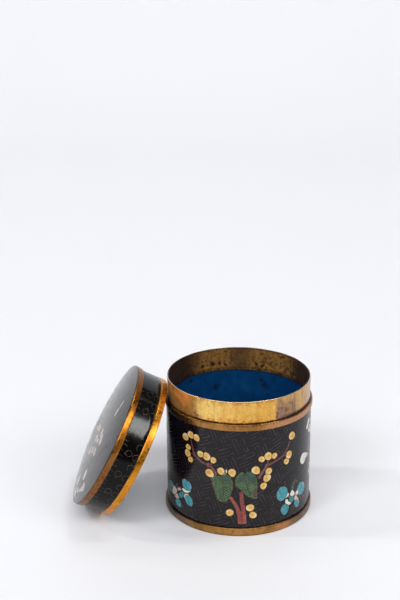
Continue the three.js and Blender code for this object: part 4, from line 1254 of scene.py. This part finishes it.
for s, z, a in ((74.0, 45.0, 0.6), (84.5, 21.5, 0.2), (66.0, 14.5, 3.4), (100.5, 52.0, 0.8), (88.5, 50.5, 2.4), (92.0, 32.5, -0.5)):
    d = np.array([math.cos(a), math.sin(a)]); nn = np.array([-d[1], d[0]]); c = np.array([s, z])
    pts = [c - d * 3.4, c - d * 1.4 + nn * 1.3, c + d * 1.2 + nn * 1.1, c + d * 3.6, c + d * 1.2 - nn * 1.1, c - d * 1.4 - nn * 1.3]
    leaf(leaves, pts, [c - d * 3.2, c, c + d * 3.2], [], (0, 1))

# the far side: a plainer berry spray and a turquoise flower
def far(s):
    return -s - 100.0


for s, z, r in ((-31.3, 50.7, 2.3), (-27.0, 53.8, 2.2), (-22.6, 53.0, 2.1), (-29.3, 44.3, 2.0), (-19.0, 47.6, 2.1), (-14.4, 46.1, 2.1), (12.6, 46.7, 2.0), (17.3, 47.8, 2.2),
                (19.7, 38.9, 2.0), (18.8, 34.4, 2.1), (28.7, 44.3, 2.2), (30.7, 53.4, 2.3), (-5.4, 14.7, 2.1), (7.5, 15.6, 2.1)):
    berry(far(s) + 0.0, z, r)
strip(wine, [(far(-8), 33.4), (far(-14), 38.2), (far(-20), 42.5), (far(-24.6), 46.2), (far(-27), 50.8)], 1.2, 0.75, tone=t_side)
strip(wine, [(far(8), 32.6), (far(13), 38.9), (far(20), 42.4), (far(26), 45.6), (far(29.5), 50.2)], 1.2, 0.75, tone=t_side)
leaf(leaves, [(far(-12.5), 30.0), (far(-10.0), 33.4), (far(-7.0), 34.6), (far(-3.2), 32.6), (far(-2.4), 28.0), (far(-4.6), 23.0), (far(-8.6), 19.6), (far(-11.4), 24.5)],
     [(far(-6.5), 34.0), (far(-7.2), 27.0), (far(-8.6), 20.4)],
     [[(far(-6.9), 30.6), (far(-9.4), 30.0), (far(-11.6), 30.6)], [(far(-7.3), 26.8), (far(-9.6), 25.6), (far(-11.0), 25.8)], [(far(-6.9), 30.9), (far(-4.8), 30.0), (far(-3.0), 30.6)],
      [(far(-7.3), 27.0), (far(-5.4), 25.6), (far(-4.0), 25.8)]])
leaf(leaves, [(far(12.0), 30.5), (far(9.6), 34.6), (far(6.4), 35.8), (far(2.8), 33.6), (far(2.0), 29.0), (far(4.4), 24.0), (far(8.4), 20.8), (far(11.2), 25.4)],
     [(far(6.2), 35.2), (far(7.0), 28.0), (far(8.4), 21.6)],
     [[(far(6.7), 31.6), (far(9.2), 31.0), (far(11.2), 31.6)], [(far(7.1), 27.8), (far(9.4), 26.6), (far(10.8), 26.8)], [(far(6.7), 31.9), (far(4.6), 31.0), (far(2.9), 31.6)],
      [(far(7.1), 28.0), (far(5.2), 26.6), (far(3.8), 26.8)]])
put(trunk, ribbon(smooth_line([(far(-4.0), 23.0), (far(-2.0), 18.4), (far(-0.9), 13.0), (far(-0.4), 6.0)], 6), 1.6, 2.5), 0.24, grid=0.8, top=0.022)
put(trunk, ribbon(smooth_line([(far(4.2), 24.6), (far(2.6), 18.4), (far(1.6), 13.0), (far(1.2), 6.0)], 6), 1.6, 2.5), 0.24, grid=0.8, top=0.032)
FC = (-66.5, 33.0)
petal(FC, (-61.6, 37.4), 3.4, True)
petal(FC, (-61.0, 29.6), 3.0)
petal(FC, (-70.8, 27.8), 3.0)
petal(FC, (-72.6, 36.6), 3.3, True)
eye(FC, 1.6)
FC2 = (121.5, 18.0)
petal(FC2, (126.2, 22.2), 3.3, True)
petal(FC2, (126.6, 14.2), 2.9)
petal(FC2, (117.0, 13.4), 2.9)
petal(FC2, (115.8, 21.4), 3.3, True)
eye(FC2, 1.6)

berries.make("golden_berries", [M_BERRY], None)
cores.make("berry_cores", [M_CORE], None)
leaves.make("green_leaves", [M_LEAF], None)
wine.make("wine_branches", [M_WINE], None)
trunk.make("red_brown_stems", [M_TRUNK], None)
pink.make("pink_buds", [M_PINK], None)
turq.make("turquoise_petals", [M_TURQ], None)
white.make("white_petals", [M_WHITE], None)
olive.make("olive_sprigs", [M_OLIVE], None)
wires.make("motif_wires", [M_WIRE], "worn_brass")
veinw.make("leaf_veins", [M_VEIN], "worn_brass")


# ---------------------------------------------------------- fret ground -------
def wrap(s):
    return (s + CIRC / 2) % CIRC - CIRC / 2


RES = 0.1
NS, NZ = int(round(CIRC / RES)), int((Z_HIGH - Z_LOW) / RES) + 1
occupied = np.zeros((NS, NZ), bool)
for poly in taken:
    c = poly.mean(0)
    grown = c + (poly - c) * 1.0
    lo, hi = grown.min(0) - 0.2, grown.max(0) + 0.2
    si = np.arange(math.floor(lo[0] / RES), math.ceil(hi[0] / RES) + 1)
    zi = np.arange(max(0, math.floor((lo[1] - Z_LOW) / RES)), min(NZ - 1, math.ceil((hi[1] - Z_LOW) / RES)) + 1)
    if not len(zi):
        continue
    G = np.array(np.meshgrid(si * RES, Z_LOW + zi * RES, indexing="ij")).reshape(2, -1).T
    hit = inside(grown, G).reshape(len(si), len(zi))
    for k, i in enumerate(si):
        occupied[(i + NS // 2) % NS, zi] |= hit[k]


def clear(P):
    i = (np.round(P[:, 0] / RES).astype(int) + NS // 2) % NS
    j = np.clip(np.round((P[:, 1] - Z_LOW) / RES).astype(int), 0, NZ - 1)
    return ~occupied[i, j] & (P[:, 1] > Z_LOW + 0.1) & (P[:, 1] < Z_HIGH - 0.1)


def runs(line, ok, step=0.15, longest=2.0, shortest=0.5):
    """the parts of a line that lie on clear ground"""
    P, C = [], []
    L = np.array(line, float)
    for a, b in zip(L[:-1], L[1:]):
        n = max(1, int(np.hypot(*(b - a)) / step))
        for i in range(n):
            P.append(a + (b - a) * i / n); C.append(i == 0)
    P.append(L[-1]); C.append(True)
    P = np.array(P); good = ok(P)
    out, i = [], 0
    while i < len(P):
        if not good[i]:
            i += 1; continue
        j = i
        while j + 1 < len(P) and good[j + 1]:
            j += 1
        keep, last = [i], 0.0
        for k in range(i + 1, j):
            if C[k] or np.hypot(*(P[k] - P[keep[-1]])) >= longest:
                keep.append(k)
        keep.append(j)
        Q = P[keep]
        if len(Q) > 1 and np.hypot(*np.diff(Q, axis=0).T).sum() > shortest:
            out.append(Q)
        i = j + 1
    return out


frng = np.random.RandomState(3)
unit = CIRC / math.hypot(25, 11)
pp = unit / 5
tilt = math.atan2(11, 25)
RT = np.array([[math.cos(tilt), -math.sin(tilt)], [math.sin(tilt), math.cos(tilt)]])
hook = np.array([(-2.5, 1.5), (2.5, 1.5), (2.5, 0.5), (-1.5, 0.5)]) * pp
fret = Build(map_wall)
for i in range(-20, 21):
    for j in range(-20, 21):
        centre = RT @ (np.array([i, j]) * unit) + np.array([0, 33.0])
        if not (-CIRC / 2 <= centre[0] < CIRC / 2) or not (-4 < centre[1] < 70):
            continue
        for turn in (0, 1):
            h = hook * (1 if turn == 0 else -1)
            if (i + j) % 2:
                h = np.stack([-h[:, 1], h[:, 0]], -1)
            L = (RT @ h.T).T + centre
            L = L + frng.uniform(-0.13, 0.13, L.shape)
            for q in runs(L, clear):
                if len(q) > 2:
                    q[1:-1] += frng.uniform(-0.035, 0.035, (len(q) - 2, 2))
                wire(fret, q, 0.2 + frng.uniform(-0.03, 0.03), 0.028, base=-0.12)
fret.make("fret_wires", [M_FRET], "worn_brass")

# ------------------------------------------------------------- lid: side -----
curls = Build(map_side)
crng = np.random.RandomState(9)
SIDE_C = 2 * math.pi * SIDE_R


def ring(b, c, r, w=0.15, start=0.0, sweep=360, top=0.035, tail=None, n=22):
    a = np.radians(start + np.linspace(0, sweep, max(8, int(n * sweep / 360)) + 1))
    rr = r * (1 + 0.04 * np.sin(2 * a + c[0]))
    L = np.stack([c[0] + rr * np.cos(a), c[1] + rr * np.sin(a)], -1)
    if sweep >= 360:
        wire(b, L[:-1], w, top, base=-0.12, closed=True)
    else:
        if tail is not None:
            L = np.vstack([L, L[-1] + np.array(tail)])
        wire(b, L, w, top, base=-0.12)


n_mid = int(round(SIDE_C / 6.0))
for i in range(n_mid):
    s = i * SIDE_C / n_mid + 5.0 + crng.uniform(-0.4, 0.4)
    if i % 2 == 0:
        t = 9.2 + crng.uniform(-0.3, 0.3); r = 1.65 + crng.uniform(-0.12, 0.12)
        ring(curls, (s, t), r)
        a = crng.uniform(0, 360)
        L = [(s + r * math.cos(math.radians(a)), t + r * math.sin(math.radians(a)))]
        d = math.radians(a + 40)
        L += [(L[0][0] + 1.0 * math.cos(d), L[0][1] + 1.0 * math.sin(d)), (L[0][0] + 1.6 * math.cos(d + 0.9), L[0][1] + 1.6 * math.sin(d + 0.9))]
        wire(curls, smooth_line(L, 4), 0.14, 0.035, base=-0.12)
    # lower scallops touch the rim, upper ones the shoulder
    t0 = 4.9 + crng.uniform(-0.2, 0.2)
    ring(curls, (s + 0.8, t0), 1.75 + crng.uniform(-0.1, 0.15), start=crng.uniform(-30, 20), sweep=crng.uniform(230, 300), tail=(crng.uniform(-0.8, 0.8), -0.8))
    ring(curls, (s - 2.0, 13.0 + crng.uniform(-0.2, 0.2)), 1.7 + crng.uniform(-0.1, 0.15), start=crng.uniform(-30, 0), sweep=crng.uniform(200, 250))
curls.make("lid_side_curls", [M_CURL], "gilt_brass", 50)

# ------------------------------------------------------------- lid: dome -----
d_white, d_pink, d_green, d_core, d_stem, d_wire = (Build(map_dome) for _ in range(6))
dome_taken = []


def dput(b, poly, edge=0.22, **kw):
    cell(b, poly, **kw)
    if edge:
        wire(d_wire, poly, edge, 0.03, base=-0.12, closed=True)
    dome_taken.append(np.array(poly, float))


def dstrip(b, line, w0, w1, edge=0.18):
    L = smooth_line(line, 6)
    poly = ribbon(L, w0, w1)
    cell(b, poly, top=0.01, grid=0.9)
    dome_taken.append(poly)
    k = len(L)
    wire(d_wire, poly[:k], edge, 0.03, base=-0.12)
    wire(d_wire, poly[k:], edge, 0.03, base=-0.12)


def dblossom(c, r, turn, n=5, tone0=0.35):
    for i in range(n):
        a = turn + i * 2 * math.pi / n
        d = np.array([math.cos(a), math.sin(a)]); nn = np.array([-d[1], d[0]])
        pc = np.array(c) + d * r * 0.60
        t = np.linspace(0, 2 * math.pi, 26, endpoint=False)
        notch = 1 - 0.12 * np.exp(-((np.mod(t + math.pi, 2 * math.pi) - math.pi) / 0.35) ** 2)
        x = r * 0.44 * np.cos(t) * notch; y = r * 0.38 * np.sin(t) * (1 + 0.25 * np.cos(t))
        dput(d_white, pc + x[:, None] * d + y[:, None] * nn, top=0.015, grid=1.0,
             tone=lambda W, dd, c=c, r=r: np.clip(tone0 + 0.6 * np.exp(-np.hypot(*(W - np.array(c)).T) / (r * 0.4)), 0, 1))
    core = circle(c, r * 0.2, 14, 0.04, 3)
    dput(d_core, core, 0.2, top=0.02, grid=0.7)


def dpatch(b, pts, tone=0.4, edge=0.13, top=0.01, spots=()):
    def fn(W, d):
        t = tone + 0.06 * np.sin(W[:, 0] * 1.7 + W[:, 1] * 2.1)
        for c, r, v in spots:
            t = t + v * np.exp(-(np.hypot(*(W - np.array(c)).T) / r) ** 2)
        return np.clip(t, 0, 1)
    dput(b, smooth_loop(pts, 5), edge, grid=0.7, top=top, tone=fn)


# a spray of blossom across the middle, buds and leaves round it
dstrip(d_stem, [(19.0, -5.4), (22.0, -4.2), (25.0, -4.4)], 0.6, 0.4, 0.1)
dstrip(d_stem, [(18.2, -22.8), (17.4, -25.6), (15.4, -28.8)], 0.7, 0.5, 0.12)
dpatch(d_white, [(6.0, 3.0), (6.8, 5.3), (9.2, 6.4), (11.5, 5.2), (11.7, 2.6), (9.6, 0.5), (7.2, 1.0)], 0.62, spots=[((8.0, 2.0), 1.2, 0.3)])
dpatch(d_white, [(12.1, 3.6), (13.7, 5.4), (16.3, 5.0), (18.0, 3.2), (18.7, 1.0), (16.8, -0.6), (14.2, -0.3), (12.4, 1.4)], 0.45, spots=[((13.6, 1.6), 1.2, 0.4)])
dpatch(d_white, [(1.7, 2.5), (-2.4, 2.1), (-7.4, 0.5), (-10.8, -2.2), (-9.0, -3.6), (-4.0, -1.8), (0.2, -0.8), (1.9, 0.2)], 0.6)
dpatch(d_white, [(3.6, -0.9), (5.5, -0.3), (6.7, -2.4), (4.9, -5.0), (1.4, -4.8), (0.3, -2.6), (1.8, -1.3)], 0.5)
dpatch(d_white, [(7.4, -0.2), (9.6, -0.2), (11.6, 0.2), (11.4, -2.0), (9.4, -3.2), (7.4, -2.2)], 0.35)
dpatch(d_core, [(2.5, 2.3), (4.0, 2.5), (5.2, 1.4), (4.6, 0.0), (3.0, -0.2), (2.1, 1.0)], 0.0, 0.3)
dpatch(d_white, [(12.0, -3.9), (14.4, -3.1), (17.1, -3.4), (18.9, -5.0), (17.7, -7.2), (14.8, -7.5), (12.3, -6.3)], 0.78)
dpatch(d_white, [(9.4, -5.6), (11.6, -6.4), (11.9, -8.8), (9.6, -9.7), (7.0, -9.2), (6.6, -7.4)], 0.6)
dpatch(d_white, [(2.1, -8.8), (5.3, -9.7), (6.4, -11.8), (4.4, -13.6), (1.1, -13.4), (-0.2, -11.4)], 0.6)
dpatch(d_white, [(16.3, -16.6), (18.1, -15.8), (19.7, -17.5), (19.8, -20.2), (18.2, -22.8), (16.3, -21.3), (15.5, -18.8)], 0.12)
dpatch(d_white, [(22.2, -21.3), (25.0, -20.3), (27.4, -21.8), (26.6, -24.5), (23.6, -26.4), (20.4, -28.6), (18.2, -29.6), (19.4, -26.6), (21.6, -24.4)], 0.45)
dpatch(d_white, [(3.1, -27.2), (6.0, -25.8), (8.7, -27.3), (8.9, -30.5), (6.0, -32.4), (2.9, -30.7)], 0.3)
dpatch(d_white, [(2.2, -35.2), (6.4, -34.0), (11.4, -33.4), (13.8, -35.2), (9.8, -37.2), (4.4, -37.6)], 0.35)
dpatch(d_white, [(11.4, -30.6), (14.8, -29.2), (17.5, -30.5), (15.6, -32.3), (12.5, -32.7)], 0.3)
dpatch(d_green, [(19.3, 26.6), (21.4, 28.3), (23.7, 26.4), (24.5, 22.6), (23.0, 19.2), (20.5, 20.1), (19.1, 23.4)], 0.6)
dpatch(d_green, [(25.9, 24.0), (28.0, 23.5), (29.9, 20.2), (30.5, 16.6), (28.6, 14.0), (26.3, 16.7), (25.4, 20.4)], 0.35)
dpatch(d_green, [(26.0, 10.8), (30.0, 13.4), (34.0, 14.2), (36.2, 13.0), (33.2, 11.4), (29.6, 10.2)], 0.1)
dpatch(d_stem, [(30.2, 23.6), (31.8, 22.0), (33.8, 18.6), (32.0, 18.0), (30.6, 20.4)], 0.0)
dpatch(d_white, [(12.9, 27.6), (14.2, 27.3), (14.7, 23.8), (13.5, 23.5)], 0.3)
dpatch(d_white, [(13.3, 22.8), (14.8, 22.5), (15.7, 19.2), (14.6, 17.8), (13.1, 19.6)], 0.3)
dpatch(d_pink, [(31.2, -2.6), (32.6, -2.0), (33.4, -3.6), (32.2, -4.4)], 0.6)
dpatch(d_green, [(31.0, -13.0), (33.4, -12.4), (34.4, -14.4), (32.4, -15.4)], 0.1)
dpatch(d_white, [(-21.6, 14.6), (-19.0, 16.4), (-16.6, 14.8), (-17.8, 12.2), (-20.6, 12.0)], 0.75)
dpatch(d_green, [(-26.4, 8.0), (-22.2, 10.6), (-19.8, 8.6), (-22.6, 6.0)], 0.15)
dstrip(d_stem, [(-31.0, -9.5), (-24.0, -6.0), (-17.0, -6.2), (-9.0, -8.6), (-2.2, -9.4)], 0.75, 0.4, 0.1)
dstrip(d_stem, [(-20.6, -5.2), (-22.4, -0.5), (-22.0, 4.6)], 0.5, 0.35, 0.1)
dstrip(d_stem, [(16.9, -8.4), (18.2, -11.4), (17.6, -14.8)], 0.5, 0.35, 0.1)
dstrip(d_stem, [(27.0, 9.6), (27.6, 4.6), (26.4, -0.4), (25.6, -3.2)], 0.5, 0.35, 0.1)
dpatch(d_green, [(-27.4, -9.4), (-24.6, -10.4), (-22.4, -14.6), (-25.6, -13.6)], 0.2)
dpatch(d_green, [(-15.6, -4.8), (-13.4, -2.2), (-14.2, 2.2), (-16.4, -1.4)], 0.2)
dpatch(d_green, [(-12.4, -9.4), (-9.6, -11.6), (-8.8, -15.4), (-12.2, -12.6)], 0.25)
dpatch(d_pink, [(-32.8, -11.4), (-31.2, -10.2), (-31.6, -8.8), (-33.4, -9.6)], 0.5)

drng = np.random.RandomState(4)
placed = []
tries = 0
while len(placed) < 120 and tries < 6000:
    tries += 1
    p, q = drng.uniform(-39, 39, 2)
    r = drng.uniform(1.2, 1.7)
    if math.hypot(p, q) > 38.6 - r or any((p - a) ** 2 + (q - b) ** 2 < 4.9 ** 2 for a, b in placed):
        continue
    a = np.linspace(0, 2 * math.pi, 10, endpoint=False)
    T = np.stack([p + (r + 0.5) * np.cos(a), q + (r + 0.5) * np.sin(a)], -1)
    if any(inside(poly, np.vstack([T, [[p, q]]])).any() for poly in dome_taken):
        continue
    placed.append((p, q))
    st = drng.uniform(0, 360)
    ring(d_wire, (p, q), r, 0.11, start=st, sweep=drng.choice([250, 290, 360]), top=0.02, tail=(drng.uniform(-1, 1), drng.uniform(-1, 1)), n=16)

# darker, greyer copies of the white and green enamels, used on the dome
M_WHITE_DULL = enamel("dull_white_enamel", [(0.0, rgb(216, 214, 210)), (0.4, rgb(186, 178, 172)), (0.75, rgb(178, 160, 156)), (1.0, rgb(166, 138, 138))], 0.2, 0.35, 0.8, 0.6)
M_LEAF_DULL = enamel("dull_green_enamel", [(0.0, rgb(46, 62, 58)), (0.4, rgb(44, 62, 46)), (1.0, rgb(58, 74, 50))], 0.2, 0.35, 0.8, 0.5)
d_white.make("lid_white_petals", [M_WHITE_DULL], None)
d_pink.make("lid_pink_buds", [M_PINK], None)
d_green.make("lid_green_leaves", [M_LEAF_DULL], None)
d_core.make("lid_blossom_cores", [M_CORE], None)
d_stem.make("lid_stems", [M_WINE], None)
d_wire.make("lid_dome_wires", [M_CURL], "gilt_brass", 50)
